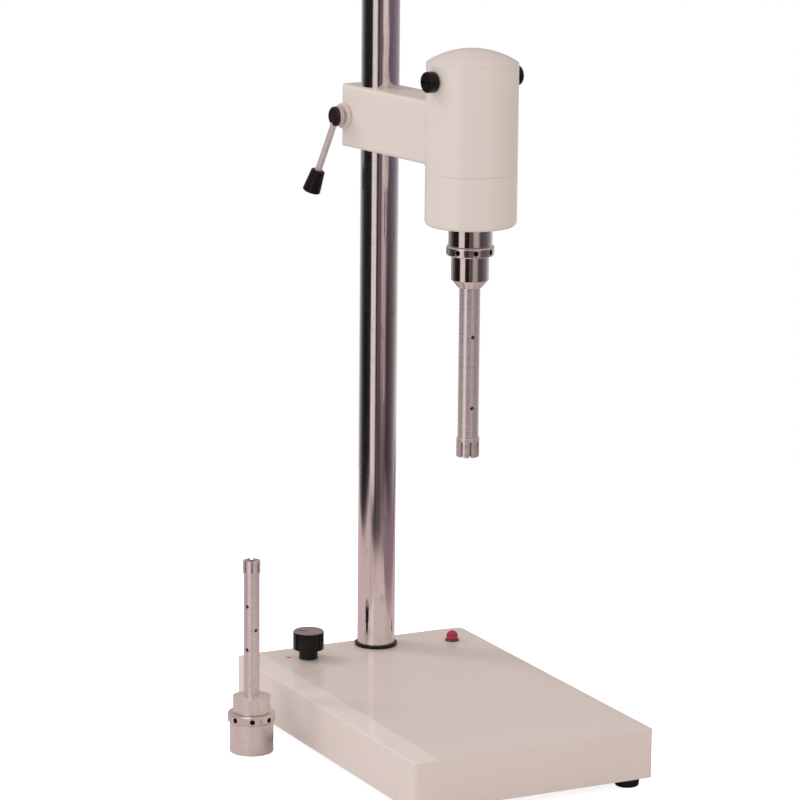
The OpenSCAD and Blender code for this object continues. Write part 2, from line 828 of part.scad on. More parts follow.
module nose_bush() {
    flange_r = bearing2_r - gap;
    color("gainsboro") in_motor() turned([
        [nose_bore_r, nose_z], [nose_r - 1, nose_z], [nose_r, nose_z + 1], [nose_r, floor_z],
        [flange_r, floor_z], [flange_r, bearing2_z], [nose_bore_r, bearing2_z]
    ]);
}

// Clamp: local x runs along the stud, the lever is on the left

module at_stud() {
    in_arm() translate([0, stud_y, clamp_z]) rotate([0, -90, 0]) children();
}

module clamp_washer() {
    color("tan") at_stud() difference() {
        rounded_ring(washer_r, 0, arm_w / 2, arm_w / 2 + washer_t, 0.6);
        rod(stud_r + run, arm_w / 2 - eps, arm_w / 2 + washer_t + eps);
    }
}

nut_t = 6;

module clamp_nut() {
    color("silver") at_stud() difference() {
        hex(10, -arm_w / 2 - nut_t, -arm_w / 2);
        rod(stud_r + run, -arm_w / 2 - nut_t - eps, -arm_w / 2 + eps);
    }
}

module clamp_stud() {
    color("silver") at_stud() rod(stud_r, -arm_w / 2 - nut_t - 1.5, hub_mid - rod_r - 0.6);
}

// Points down the lever: first back about the stud, then out from the arm
module along_lever() {
    at_stud() translate([0, 0, hub_mid]) rotate([0, 0, -lever_back])
        rotate([0, -90 + lever_flare, 0]) children();
}

module lever_hub() {
    color("gainsboro") difference() {
        union() {
            at_stud() rod(5, hub_z0, hub_z0 + hub_neck + 1);
            at_stud() rounded_ring(hub_r, 0, hub_z0 + hub_neck, hub_z0 + hub_neck + hub_l, 2);
        }
        at_stud() rod(stud_r + seat, hub_z0 - eps, hub_mid - rod_r - 0.4);
        along_lever() rod(rod_r + seat, -1, hub_r + 3);
    }
}

module lever_rod() {
    color("gainsboro") along_lever() rod(rod_r, 0, rod_l + 10);
}

module lever_grip() {
    e = grip_edge;
    color("#181818") along_lever() difference() {
        rotate_extrude() polygon([
            [0, rod_l], [grip_r1 - e, rod_l], [grip_r1, rod_l + e],
            [grip_r2, lever_l - e], [grip_r2 - e, lever_l], [0, lever_l]
        ]);
        rod(rod_r + seat, rod_l - eps, rod_l + 10 + gap);
    }
}

// Motor: field, brushes and bearings stay with the casting

core_z = parting_z + boss_h + 3.8;
core_top = core_z + core_l;
pole_r = core_r + air_gap;
stack_r = bore_r - 0.06;
yoke_r = bore_r - 5;
pole_w = 16;
coil_w = 3.4;

module pole_plan() {
    intersection() {
        difference() {
            circle(yoke_r + 1);
            circle(pole_r);
        }
        union() {
            square([pole_w, 2 * bore_r], center = true);
            intersection() {
                circle(pole_r + 2.4);
                polygon([[0, 0], [40, 44], [40, 60], [-40, 60], [-40, 44]]);
            }
            intersection() {
                circle(pole_r + 2.4);
                polygon([[0, 0], [40, -44], [40, -60], [-40, -60], [-40, -44]]);
            }
        }
    }
}

module field_stator() {
    color("gray") in_motor() translate([0, 0, core_z]) linear_extrude(core_l) {
        difference() {
            circle(stack_r);
            circle(yoke_r);
        }
        pole_plan();
    }
}

module field_coils() {
    r0 = pole_r + 2.4 + gap;
    r1 = yoke_r - gap;
    w = pole_w / 2 + gap;
    color("darkorange") in_motor() intersection() {
        tube(r1, r0, core_z - coil_w - gap, core_top + coil_w + gap);
        for (sy = [-1, 1]) difference() {
            box(-w - coil_w, w + coil_w, sy > 0 ? 0 : -bore_r, sy > 0 ? bore_r : 0,
                core_z - coil_w - gap, core_top + coil_w + gap);
            box(-w, w, -bore_r - eps, bore_r + eps, core_z - gap, core_top + gap);
        }
    }
}

brush_s = 6;
brush_l = 13;
brush_r0 = commutator_r + 0.15;
holder_r0 = commutator_r + 2;
cap_plug_r = 4.8;
cap_plug_l = 3;

module at_brushes() {
    in_motor() translate([0, 0, brush_z]) for (sx = [-1, 1]) rotate([0, sx * 90, 0]) children();
}

module brush_holders() {
    color("goldenrod") at_brushes() difference() {
        rod(holder_r, holder_r0, motor_r);
        translate([0, 0, motor_r / 2]) cube([brush_s + gap, brush_s + gap, 2 * motor_r], center = true);
        rod(cap_plug_r + seat, motor_r - cap_plug_l - gap, motor_r + eps);
    }
}

module carbon_brushes() {
    color("#2a2a2a") at_brushes() difference() {
        translate([0, 0, brush_r0 - 0.6 + (brush_l + 0.6) / 2])
            cube([brush_s, brush_s, brush_l + 0.6], center = true);
        rotate([0, 90, 0]) rod(brush_r0, -brush_s, brush_s);
    }
}

module brush_springs() {
    color("silver") at_brushes()
        tube(2.6, 1.7, brush_r0 + brush_l + seat, motor_r - cap_plug_l - seat);
}

module brush_caps() {
    color("#181818") at_brushes() difference() {
        union() {
            rod(cap_plug_r, motor_r - cap_plug_l, motor_r + eps);
            rounded_ring(cap_r, 0, motor_r + seat, motor_r + cap_l, 1.6);
        }
        translate([0, 0, motor_r + cap_l]) cube([1.8, 2 * cap_r - 5, 3], center = true);
    }
}

module bearing(ro, ri, z0, t) {
    g = 0.6;
    difference() {
        rounded_ring(ro, ri + run, z0, z0 + t, 0.5);
        for (z = [z0 - eps, z0 + t - g])
            tube(ri + 0.76 * (ro - ri), ri + 0.3 * (ro - ri), z, z + eps + g);
    }
}

upper_shaft_r = 4;

module upper_bearing() {
    color("lightsteelblue") in_motor() bearing(bearing_r, upper_shaft_r, bearing_z, bearing_t);
}

module lower_bearing() {
    color("lightsteelblue") in_motor() bearing(bearing2_r, shaft_r, bearing2_z, bearing2_t);
}

// Armature

shaft_end_r = 5;
shaft_end_z = nose_z + 1;
dog_h = 6;
dog_w = 3;
commutator_z = brush_z - commutator_l / 2;

module motor_shaft() {
    step_z = commutator_z - 2;
    top_z = bearing_z + bearing_t + 0.5;
    color("silver") in_motor() difference() {
        turned([
            [0, shaft_end_z], [shaft_end_r - 0.5, shaft_end_z], [shaft_end_r, shaft_end_z + 0.5],
            [shaft_end_r, bearing2_z], [shaft_r, bearing2_z], [shaft_r, step_z], [shaft_end_r, step_z],
            [shaft_end_r, bearing_z - gap], [upper_shaft_r, bearing_z - gap], [upper_shaft_r, top_z], [0, top_z]
        ]);
        translate([0, 0, shaft_end_z + dog_h / 2 - eps])
            cube([dog_w, 3 * shaft_end_r, dog_h + 2 * eps], center = true);
    }
}

module slot_ring(n, r) {
    for (k = [0:n - 1]) rotate([0, 0, k * 360 / n]) translate([r, 0, 0]) children();
}

wire_r = 1.5;
slot_at = core_r - 3.2;

module armature_core() {
    color("gray") in_motor() difference() {
        tube(core_r, shaft_r + seat, core_z, core_top);
        slot_ring(core_slots, slot_at) {
            rod(wire_r + 0.2, core_z - eps, core_top + eps);
            box(0, 5, -0.8, 0.8, core_z - eps, core_top + eps);
        }
    }
}

module armature_windings() {
    turn_h = 6;
    color("chocolate") in_motor() {
        for (z = [core_z - turn_h - 0.2, core_top + 0.2])
            rounded_ring(core_r - 1, shaft_r + 1.6, z, z + turn_h, 2);
        slot_ring(core_slots, slot_at) rod(wire_r, core_z - eps, core_top + eps);
    }
}

module commutator() {
    n = 2 * core_slots;
    color("peru") in_motor() difference() {
        tube(commutator_r, shaft_end_r + seat, commutator_z, commutator_z + commutator_l);
        slot_ring(n, commutator_r) translate([0, 0, commutator_z + commutator_l / 2])
            cube([1.6, 0.5, commutator_l + 2 * eps], center = true);
    }
}

fan_t = 7;
fan_z = pocket_top + 1.5;

module cooling_fan() {
    color("#3a3a3a") in_motor() {
        tube(9, shaft_r + seat, fan_z, fan_z + fan_t);
        tube(fan_r, 8, fan_z, fan_z + 1.5);
        slot_ring(fan_blades, 8.5) translate([0, -0.6, fan_z]) cube([fan_r - 9, 1.2, fan_t]);
    }
}

// Working heads: built hanging down from the top of their sleeve at z = 0

ring_z = -sleeve_l - ring_h;
spigot2_r = 11;
nose_seat = head_z - nose_z;
spigot2_z = -nose_seat - 1.4;
collar_top = shaft_end_z - head_z - gap;
collar_h = 6;
tube_step = 0.4;
rotor_set = 0.8;
rotor_web = 4;

module sleeve_solid() {
    difference() {
        rounded_ring(sleeve_r, 0, -sleeve_l, 0, 0.8);
        rod(nose_r + run, -nose_seat - 0.4, eps);
        rod(spigot2_r + seat, -sleeve_l - eps, 0);
        translate([0, 0, -0.8]) cylinder(r1 = nose_r + run, r2 = nose_r + 2, h = 1.6);
    }
}

module ring_solid() {
    difference() {
        rounded_ring(ring_r, spigot2_r + seat, ring_z, -sleeve_l, 1.4);
        for (k = [0:ring_holes - 1]) rotate([0, 0, (k + 0.5) * 360 / ring_holes])
            translate([0, 0, ring_z + ring_h / 2]) rotate([0, 90, 0]) rod(2, ring_r - 3, ring_r + eps);
    }
}

// Body with a spigot that holds the ring and the sleeve, and a taper down to the tube
module body_solid(ro, body_l, taper_l) {
    z0 = ring_z - body_l;
    rs = ro - tube_step + seat;
    rotate_extrude() polygon([
        [rs, z0 - taper_l], [ro + 1.4, z0 - taper_l], [head_r, z0],
        [head_r, ring_z - 0.6], [head_r - 0.6, ring_z], [spigot2_r, ring_z],
        [spigot2_r, spigot2_z], [shaft_end_r + 1.5, spigot2_z], [shaft_end_r + 1.5, ring_z], [rs, ring_z]
    ]);
}

module ports(at) {
    for (p = at) rotate([0, 0, p[1]]) translate([0, 0, p[0]]) rotate([0, 90, 0]) rod(1.5, 0, 20);
}

// Tube that shoulders against the body, with ports in its wall and a slotted end
module stator_solid(len, ro, rs, stator_l, shoulder_z, at) {
    difference() {
        union() {
            rod(ro - tube_step, shoulder_z - eps, ring_z - gap);
            rod(ro, -len + stator_l - eps, shoulder_z);
            rounded_ring(rs, 0, -len, -len + stator_l, 0.5);
        }
        rod(ro - tube_t, -len - eps, ring_z + eps);
        ports(at);
        for (k = [0:stator_slots - 1]) rotate([0, 0, (k + 0.5) * 360 / stator_slots])
            translate([rs - 2, 0, -len + stator_l * 0.4]) cube([6, slot_w, stator_l * 0.8 + eps], center = true);
    }
}

module bushes_solid(len, ri, sr, stator_l) {
    for (z = [ring_z - gap - 10, -len + stator_l + 8]) tube(ri - seat, sr + run, z, z + 9);
}

module shaft_solid(len, sr) {
    tip_z = -len + rotor_set + 3;
    top_z = collar_top + dog_h - gap;
    flat_x = dog_w / 2 - 0.1;
    difference() {
        turned([
            [0, tip_z], [sr, tip_z], [sr, collar_top - collar_h], [shaft_end_r, collar_top - collar_h],
            [shaft_end_r, top_z - 0.5], [shaft_end_r - 0.5, top_z], [0, top_z]
        ]);
        for (s = [0, 1]) mirror([s, 0, 0])
            box(flat_x, 2 * shaft_end_r, -2 * shaft_end_r, 2 * shaft_end_r, collar_top, top_z + eps);
    }
}

module rotor_solid(len, ri, sr, stator_l) {
    r = ri - shear_gap;
    z0 = -len + rotor_set;
    z1 = -len + stator_l;
    difference() {
        rod(r, z0, z1);
        rod(sr + seat, z0 + 2, z1 + eps);
        for (a = [0, 90]) rotate([0, 0, a])
            box(-2 * r, 2 * r, -slot_w / 2, slot_w / 2, z0 - eps, z1 - rotor_web);
        rod(sr * 0.9, z0 - eps, z0 + 2 + eps);
    }
}

head_shaft_r = 3;
head_shoulder_z = ring_z - head_body_l - head_taper_l;
head_ports = [[-94, 256], [-149.2, 256], [-121, 76], [-94, 76]];

module head_sleeve() {
    color("gainsboro") in_head() sleeve_solid();
}

module lock_ring() {
    color("silver") in_head() ring_solid();
}

module head_body() {
    color("gainsboro") in_head() body_solid(tube_r, head_body_l, head_taper_l);
}

module stator_tube() {
    color("gainsboro") in_head() stator_solid(head_l, tube_r, stator_r, stator_l, head_shoulder_z, head_ports);
}

module tube_bushes() {
    color("ivory") in_head() bushes_solid(head_l, tube_r - tube_t, head_shaft_r, stator_l);
}

module drive_shaft() {
    color("silver") in_head() shaft_solid(head_l, head_shaft_r);
}

module rotor() {
    color("lightgray") in_head() rotor_solid(head_l, tube_r - tube_t, head_shaft_r, stator_l);
}

spare_shaft_r = 2.5;
spare_shoulder_z = ring_z - spare_body_l - spare_taper_l;
spare_ports = [[-81.4, 150], [-96.9, 80], [-115.6, 150], [-96.9, 260]];

module spare_sleeve() {
    color("gainsboro") in_spare() sleeve_solid();
}

module spare_lock_ring() {
    color("silver") in_spare() ring_solid();
}

module spare_body() {
    color("gainsboro") in_spare() body_solid(spare_tube_r, spare_body_l, spare_taper_l);
}

module spare_stator_tube() {
    color("gainsboro") in_spare() stator_solid(spare_l, spare_tube_r, spare_stator_r,
        spare_stator_l, spare_shoulder_z, spare_ports);
}

module spare_bushes() {
    color("ivory") in_spare()
        bushes_solid(spare_l, spare_tube_r - tube_t, spare_shaft_r, spare_stator_l);
}

module spare_drive_shaft() {
    color("silver") in_spare() shaft_solid(spare_l, spare_shaft_r);
}

module spare_rotor() {
    color("lightgray") in_spare()
        rotor_solid(spare_l, spare_tube_r - tube_t, spare_shaft_r, spare_stator_l);
}

base_shell();
bottom_plate();
base_screws();
rubber_feet();
column_flange();
column();
column_nut();
column_foot_ring();
potentiometer();
pot_nut();
lamp_housing();
lamp_lens();
control_board();
board_parts();
board_standoffs();
mains_inlet();
base_grommet();
speed_knob();
pot_shaft();
column_liner();
arm_casting();
motor_dome();
lower_housing();
housing_screws();
nose_bush();
clamp_washer();
clamp_nut();
field_stator();
field_coils();
brush_holders();
carbon_brushes();
brush_springs();
brush_caps();
upper_bearing();
lower_bearing();
motor_grommet();
clamp_stud();
lever_hub();
lever_rod();
lever_grip();
motor_shaft();
armature_core();
armature_windings();
commutator();
cooling_fan();
head_sleeve();
lock_ring();
head_body();
stator_tube();
tube_bushes();
drive_shaft();
rotor();
spare_sleeve();
spare_lock_ring();
spare_body();
spare_stator_tube();
spare_bushes();
spare_drive_shaft();
spare_rotor();
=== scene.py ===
"""Looks of a bench homogenizer: finishes, softened castings, knob, springs, windings and a small studio.

It is laid out as an add-on and run as a script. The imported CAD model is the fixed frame, in metres.
"""

import json
import math

import bmesh
import bpy
from mathutils import Matrix, Vector

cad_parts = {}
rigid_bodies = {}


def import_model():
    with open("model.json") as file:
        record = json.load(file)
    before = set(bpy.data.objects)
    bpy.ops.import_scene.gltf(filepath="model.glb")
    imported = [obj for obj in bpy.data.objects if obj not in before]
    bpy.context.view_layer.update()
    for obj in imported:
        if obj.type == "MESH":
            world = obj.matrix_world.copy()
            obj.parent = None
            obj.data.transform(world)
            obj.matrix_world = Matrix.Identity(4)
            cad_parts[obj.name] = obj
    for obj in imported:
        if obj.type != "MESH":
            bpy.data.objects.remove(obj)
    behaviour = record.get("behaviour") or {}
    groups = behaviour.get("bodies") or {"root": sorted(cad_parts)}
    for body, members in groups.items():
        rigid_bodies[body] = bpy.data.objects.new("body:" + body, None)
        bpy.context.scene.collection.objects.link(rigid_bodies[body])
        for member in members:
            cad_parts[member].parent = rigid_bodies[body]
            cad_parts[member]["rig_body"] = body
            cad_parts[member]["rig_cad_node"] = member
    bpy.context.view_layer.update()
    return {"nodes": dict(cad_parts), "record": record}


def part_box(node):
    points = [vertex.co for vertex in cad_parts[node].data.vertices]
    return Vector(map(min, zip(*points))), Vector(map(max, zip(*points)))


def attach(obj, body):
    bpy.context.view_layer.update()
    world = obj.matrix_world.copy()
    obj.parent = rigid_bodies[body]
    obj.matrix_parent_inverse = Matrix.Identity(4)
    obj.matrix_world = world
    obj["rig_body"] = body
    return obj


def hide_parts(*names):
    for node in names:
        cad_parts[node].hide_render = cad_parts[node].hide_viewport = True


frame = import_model()

bl_info = {
    "name": "High-speed homogenizer",
    "version": (1, 0, 0),
    "blender": (4, 5, 0),
    "location": "3D View > Sidebar > Homogenizer",
    "description": "Dresses the CAD frame of a bench homogenizer piece by piece",
    "category": "Object",
}

BODIES = frame["record"]["behaviour"]["bodies"]
BODY_OF = {node: body for body, nodes in BODIES.items() for node in nodes}
SLOT_OF = {name: piece.material_slots[0].material.name for name, piece in frame["nodes"].items()}

# Camera: its right, up and back directions, its place from the middle of the base, and its lens
CAMERA_RIGHT = Vector((0.893186, -0.449600, 0.008867))
CAMERA_UP = Vector((0.088125, 0.194338, 0.976968))
CAMERA_BACK = Vector((-0.440968, -0.871833, 0.213201))
CAMERA_FROM_BASE = Vector((-1.324869, -2.548027, 0.901362))
CAMERA_LENS = 174.773
CAMERA_SENSOR = 36.0

# Floor: its turn, its depth and its near corner
FLOOR_TURN = math.radians(151.4)
FLOOR_DEPTH = 1.3
FLOOR_CORNER = Vector((0.357, -0.614, 0.0))

# Lights: name, place, target, width and height, watts and colour.
# A fill casts no shadow, and a card shows only in reflections.
LIGHTS = (
    ("key_softbox", (-2.0, 2.2, 2.9), (0.0, 0.05, 0.1), (1.1, 1.1), 42.0, (1.0, 0.89, 0.84)),
    ("front_fill", (-3.6, -2.4, 1.0), (0.0, 0.0, 0.25), (2.8, 2.8), 42.0, (1.0, 0.98, 0.95)),
    ("right_fill", (1.6, -2.6, 0.8), (0.0, 0.0, 0.3), (1.4, 1.4), 8.0, (1.0, 0.88, 0.82)),
    ("left_card", (-0.306, -0.100, 0.395), (0.048, 0.065, 0.395), (0.21, 0.65), 0.32, (1.0, 0.90, 0.89)),
)

# Base: how much lighter the enamel of the left margin is painted, a painted light from the left, and the
# margin's width and fall
PAINTED_LIGHT_LIFT = (1.12, 1.15, 1.15)
MARGIN_WIDTH, MARGIN_FALL = 0.020, 0.0012

# Knob: radius and height of its neck, turn of its pointer and start mark, and sweep of its scale
KNOB_NECK_R, KNOB_NECK_H = 0.0075, 0.0076
KNOB_START, KNOB_SWEEP = 150.0, 300.0

# Prints round the knob: length and width of the start mark and of a tick, and their thickness
START_MARK, SCALE_TICK, INK_HEIGHT = (0.0045, 0.0040), (0.0018, 0.0003), 0.00006


# Nodes of a material or of the surroundings

def add(tree, kind, inputs=None, **settings):
    """Adds one shader node, sets it, and links or fills its inputs."""
    made = tree.nodes.new(kind)
    for key, value in settings.items():
        setattr(made, key, value)
    for key, value in (inputs or {}).items():
        if isinstance(value, bpy.types.NodeSocket):
            tree.links.new(value, made.inputs[key])
        else:
            made.inputs[key].default_value = value
    return made


def math_node(tree, operation, first, second=0.0, third=0.0):
    return add(tree, "ShaderNodeMath", {0: first, 1: second, 2: third}, operation=operation).outputs[0]


def remap(tree, value, low, high, to_low, to_high):
    """Stretches a value from one range to another and holds it at the ends."""
    return add(tree, "ShaderNodeMapRange", {
        "Value": value, "From Min": low, "From Max": high, "To Min": to_low, "To Max": to_high,
    }).outputs["Result"]


def blend_colour(tree, share, first, second, blend="MIX"):
    made = add(tree, "ShaderNodeMix", data_type="RGBA", blend_type=blend)
    for index, value in ((0, share), (6, first), (7, second)):
        if isinstance(value, bpy.types.NodeSocket):
            tree.links.new(value, made.inputs[index])
        else:
            made.inputs[index].default_value = value
    return made.outputs[2]


def ramp(tree, share, stops):
    """A colour ramp with its stops given as place and colour."""
    made = add(tree, "ShaderNodeValToRGB", {"Fac": share})
    elements = made.color_ramp.elements
    while len(elements) < len(stops):
        elements.new(0.5)
    for element, (place, colour) in zip(elements, sorted(stops)):
        element.position = place
        element.color = (*colour, 1.0)
    return made.outputs["Color"]


def tone(colour, share):
    """The same colour, lighter or darker."""
    return tuple(min(1.0, c * share) for c in colour[:3])


class Finish:
    """A material with one shader, object coordinates centred on a point, and a chain of bumps."""

    def __init__(self, name, centre=(0.0, 0.0, 0.0), **shader):
        self.material = bpy.data.materials.new(name)
        self.material.use_nodes = True
        self.tree = self.material.node_tree
        self.tree.nodes.clear()
        self.shader = add(self.tree, "ShaderNodeBsdfPrincipled")
        out = add(self.tree, "ShaderNodeOutputMaterial")
        self.tree.links.new(self.shader.outputs["BSDF"], out.inputs["Surface"])
        coords = add(self.tree, "ShaderNodeTexCoord").outputs["Object"]
        self.place = add(self.tree, "ShaderNodeMapping", {
            "Vector": coords, "Location": tuple(-c for c in centre),
        }).outputs["Vector"]
        self.normal = None
        self.set(**shader)

    def set(self, **shader):
        for key, value in shader.items():
            socket = self.shader.inputs[key.replace("_", " ").title().replace("Ior", "IOR")]
            if isinstance(value, bpy.types.NodeSocket):
                self.tree.links.new(value, socket)
            else:
                socket.default_value = (*value[:3], 1.0) if isinstance(value, (tuple, list)) else value

    def stretched(self, scale):
        return add(self.tree, "ShaderNodeMapping", {"Vector": self.place, "Scale": scale}).outputs["Vector"]

    def axes(self):
        """The place along X, Y and Z."""
        return add(self.tree, "ShaderNodeSeparateXYZ", {0: self.place}).outputs

    def noise(self, scale, detail=3.0, stretch=None):
        return add(self.tree, "ShaderNodeTexNoise", {
            "Vector": self.stretched(stretch) if stretch else self.place, "Scale": scale, "Detail": detail,
        }).outputs["Fac"]

    def wave(self, pitch, direction="Z", kind="BANDS", distortion=0.0, detail_scale=1.0):
        """Bands or rings whose crests lie one pitch apart."""
        along = {"bands_direction": direction} if kind == "BANDS" else {"rings_direction": direction}
        return add(self.tree, "ShaderNodeTexWave", {
            "Vector": self.place, "Scale": math.pi / 10 / pitch, "Distortion": distortion,
            "Detail Scale": detail_scale,
        }, wave_type=kind, **along).outputs["Fac"]

    def cells(self, scale, feature="F1"):
        return add(self.tree, "ShaderNodeTexVoronoi", {"Vector": self.place, "Scale": scale},
                   feature=feature).outputs

    def bump(self, height, depth, strength=1.0):
        inputs = {"Height": height, "Distance": depth, "Strength": strength}
        if self.normal is not None:
            inputs["Normal"] = self.normal
        self.normal = add(self.tree, "ShaderNodeBump", inputs).outputs["Normal"]
        self.tree.links.new(self.normal, self.shader.inputs["Normal"])

    def tones(self, share, colour, low, high):
        """Between two tones of a colour."""
        return blend_colour(self.tree, share, (*tone(colour, low), 1.0), (*tone(colour, high), 1.0))

    def tint(self, share, colour, low, high):
        self.set(base_color=self.tones(share, colour, low, high))

    def roughness(self, share, low, high, start=0.3, end=0.7):
        """Roughness that follows a share from its start to its end."""
        self.set(roughness=remap(self.tree, share, start, end, low, high))


def painted(name, colour, gloss, margin=None):
    """Stoved enamel: even colour with a faint cloud, orange peel, a clear gloss.

    A margin is where it ends along X, and the height above which the enamel left of there is painted
    lighter, as painted light from the left.
    """
    made = Finish(name, coat_weight=0.38, coat_roughness=gloss, coat_ior=1.5)
    cloud = made.noise(9, 2)
    if margin:
        end, level = margin
        where = made.axes()
        # Painted light: the enamel left of the margin and above its level is made lighter.
        side = remap(made.tree, where["X"], end - 0.0012, end + 0.0004, 1.0, 0.0)
        above = remap(made.tree, where["Z"], level - 0.0002, level, 0.0, 1.0)
        light = math_node(made.tree, "MULTIPLY", side, above)
        painted_lit_margin = [c * lift for c, lift in zip(colour, PAINTED_LIGHT_LIFT)]
        first, second = (blend_colour(made.tree, light, (*tone(colour, k), 1.0), (*tone(painted_lit_margin, k), 1.0))
                         for k in (0.975, 1.02))
        made.set(base_color=blend_colour(made.tree, cloud, first, second))
    else:
        made.tint(cloud, colour, 0.975, 1.02)
    made.roughness(made.noise(60, 2), 0.30, 0.42)
    made.bump(made.noise(420, 2), 0.00003, 0.35)
    made.bump(made.noise(28, 1), 0.0002, 0.12)
    return made.material


def chromed(name, colour):
    """Hard chrome on a ground bar: long faint waves, polish haze and a few rub marks."""
    made = Finish(name, metallic=1.0)
    marks = remap(made.tree, made.noise(300, 4, (1, 1, 0.25)), 0.62, 0.72, 0.0, 1.0)
    made.tint(marks, colour, 1.0, 0.78)
    made.roughness(made.noise(90, 4, (1, 1, 0.1)), 0.09, 0.17)
    made.bump(made.noise(24, 1, (1, 1, 0.22)), 0.0001, 0.18)
    made.bump(made.noise(1200, 2, (1, 1, 0.06)), 0.000004, 0.4)
    return made.material


def turned(name, colour, centre, rough, axis="Z", pitch=0.00035, metallic=1.0, brushed=0.0):
    """Steel from the lathe: fine rings round the axis and a soft sheen that changes along it."""
    made = Finish(name, centre, metallic=metallic, anisotropic=brushed, anisotropic_rotation=0.25)
    squash = {"X": (30, 1, 1), "Y": (1, 30, 1), "Z": (1, 1, 30)}[axis]
    streaks = made.noise(55, 3, squash)
    made.tint(streaks, colour, 0.9, 1.05)
    made.roughness(streaks, rough * 0.75, rough * 1.35)
    made.bump(made.wave(pitch, axis, distortion=0.6), 0.000006, 0.5)
    made.bump(made.noise(60, 2), 0.00003, 0.15)
    return made.material


def collared(name, dark, bright, centre, split):
    """Blackened steel whose root, past the split along X, is a bright collar."""
    made = Finish(name, centre, metallic=0.6)
    collar = remap(made.tree, made.axes()["X"], split - 0.0001, split + 0.0001, 0.0, 1.0)
    worn = made.noise(220, 3)
    made.set(base_color=blend_colour(
        made.tree, collar, made.tones(worn, dark, 0.8, 1.3), made.tones(worn, bright, 0.9, 1.05)))
    made.roughness(collar, 0.24, 0.42, 0.0, 1.0)
    made.bump(made.wave(0.0004, "X", distortion=0.6), 0.000006, 0.5)
    return made.material


def knob_black(name, colour, painted_sheen_cap, centre, level):
    """Glossy moulding whose top, above a level, is painted as a paler matt disc: a painted highlight of the
    light from above.
    """
    made = Finish(name, centre, specular_ior_level=0.25)
    # Painted highlight: the grey top stands in for light falling on it from above.
    top = remap(made.tree, made.axes()["Z"], level - 0.0009, level - 0.0004, 0.0, 1.0)
    cloud = made.noise(45, 4)
    made.set(base_color=blend_colour(
        made.tree, top, made.tones(cloud, colour, 0.85, 1.15), made.tones(cloud, painted_sheen_cap, 0.92, 1.06)))
    made.roughness(top, 0.22, 0.4, 0.0, 1.0)
    made.bump(made.cells(1400)["Distance"], 0.00001, 0.4)
    return made.material


def ringed(name, colour, centre, rough, radius, half):
    """Turned lock ring with painted shade darkening its spanner holes."""
    made = Finish(name, centre, metallic=1.0, anisotropic=0.6, anisotropic_rotation=0.25)
    where = made.axes()
    flat = add(made.tree, "ShaderNodeCombineXYZ", {"X": where["X"], "Y": where["Y"]}).outputs[0]
    out = add(made.tree, "ShaderNodeVectorMath", {0: flat}, operation="LENGTH").outputs["Value"]
    deep = remap(made.tree, out, radius - 0.0007, radius - 0.0003, 1.0, 0.0)
    height = math_node(made.tree, "ABSOLUTE", where["Z"])
    band = remap(made.tree, height, half - 0.0014, half - 0.0011, 1.0, 0.0)
    painted_hole_shade = math_node(made.tree, "MULTIPLY", deep, band)
    # Painted shade: the spanner holes are darkened almost to black.
    made.tint(painted_hole_shade, colour, 1.0, 0.06)
    made.roughness(painted_hole_shade, rough, 0.6, 0.0, 1.0)
    made.bump(made.wave(0.0003, "Z", distortion=0.6), 0.000006, 0.5)
    return made.material


def plated(name, colour, rough):
    """Zinc or nickel on rolled steel: mottled, with a fine grain."""
    made = Finish(name, metallic=1.0)
    spangle = made.cells(140)["Color"]
    made.tint(made.noise(70, 3), colour, 0.86, 1.08)
    made.roughness(spangle, rough * 0.8, rough * 1.25, 0.0, 1.0)
    made.bump(made.noise(500, 3), 0.00002, 0.35)
    return made.material


def moulded(name, colour, rough, grain=900, depth=0.00003):
    """Moulded plastic: fine leathered grain and a little wear of the gloss."""
    made = Finish(name, specular_ior_level=0.25)
    made.tint(made.noise(30, 3), colour, 0.85, 1.15)
    made.roughness(made.noise(45, 4), rough - 0.05, rough + 0.05)
    made.bump(made.cells(grain)["Distance"], depth, 0.4)
    return made.material


def rubbery(name, colour):
    """Rubber: matt, dusty in places, with the skin of the mould."""
    made = Finish(name, specular_ior_level=0.3)
    dust = remap(made.tree, made.noise(120, 5), 0.55, 0.75, 0.0, 1.0)
    made.tint(dust, colour, 1.0, 1.9)
    made.roughness(made.noise(80, 3), 0.62, 0.82)
    made.bump(made.noise(1500, 2), 0.00003, 0.5)
    return made.material


def lens(name, colour, centre):
    """Red pilot lens: clear plastic with ribs inside, bumped, and lighter and darker rings of colour as a
    painted glint off them.
    """
    made = Finish(name, centre, roughness=0.08, transmission_weight=0.35, coat_weight=0.5)
    ribs_and_painted_glints = made.wave(0.0011, "Z", "RINGS")
    # Painted glint: the colour rings stand for light caught by the ribs.
    made.tint(ribs_and_painted_glints, colour, 0.55, 1.0)
    made.bump(ribs_and_painted_glints, 0.00008, 0.3)
    return made.material


def laminated(name, colour, pitch):
    """A stack of thin sheets with dark joints and a burnt varnish."""
    made = Finish(name, metallic=0.85)
    sheets = made.wave(pitch, "Z")
    varnish = made.noise(60, 3)
    joints = remap(made.tree, sheets, 0.1, 0.45, 1.0, 0.0)
    made.set(base_color=blend_colour(
        made.tree, joints, made.tones(varnish, colour, 0.75, 1.15), (0.03, 0.025, 0.02, 1.0)))
    made.roughness(varnish, 0.32, 0.5)
    made.bump(sheets, 0.00006, 0.6)
    return made.material


def enamelled_wire(name, colour, pitch, centre):
    """Enamelled copper wire: glossy strands side by side under varnish."""
    made = Finish(name, centre, metallic=0.7, coat_weight=0.7, coat_roughness=0.15)
    strands = made.wave(pitch, "Z", distortion=2.5, detail_scale=30)
    made.tint(strands, colour, 0.3, 1.0)
    made.roughness(made.noise(90, 2), 0.25, 0.4)
    made.bump(strands, 0.0002, 0.7)
    return made.material


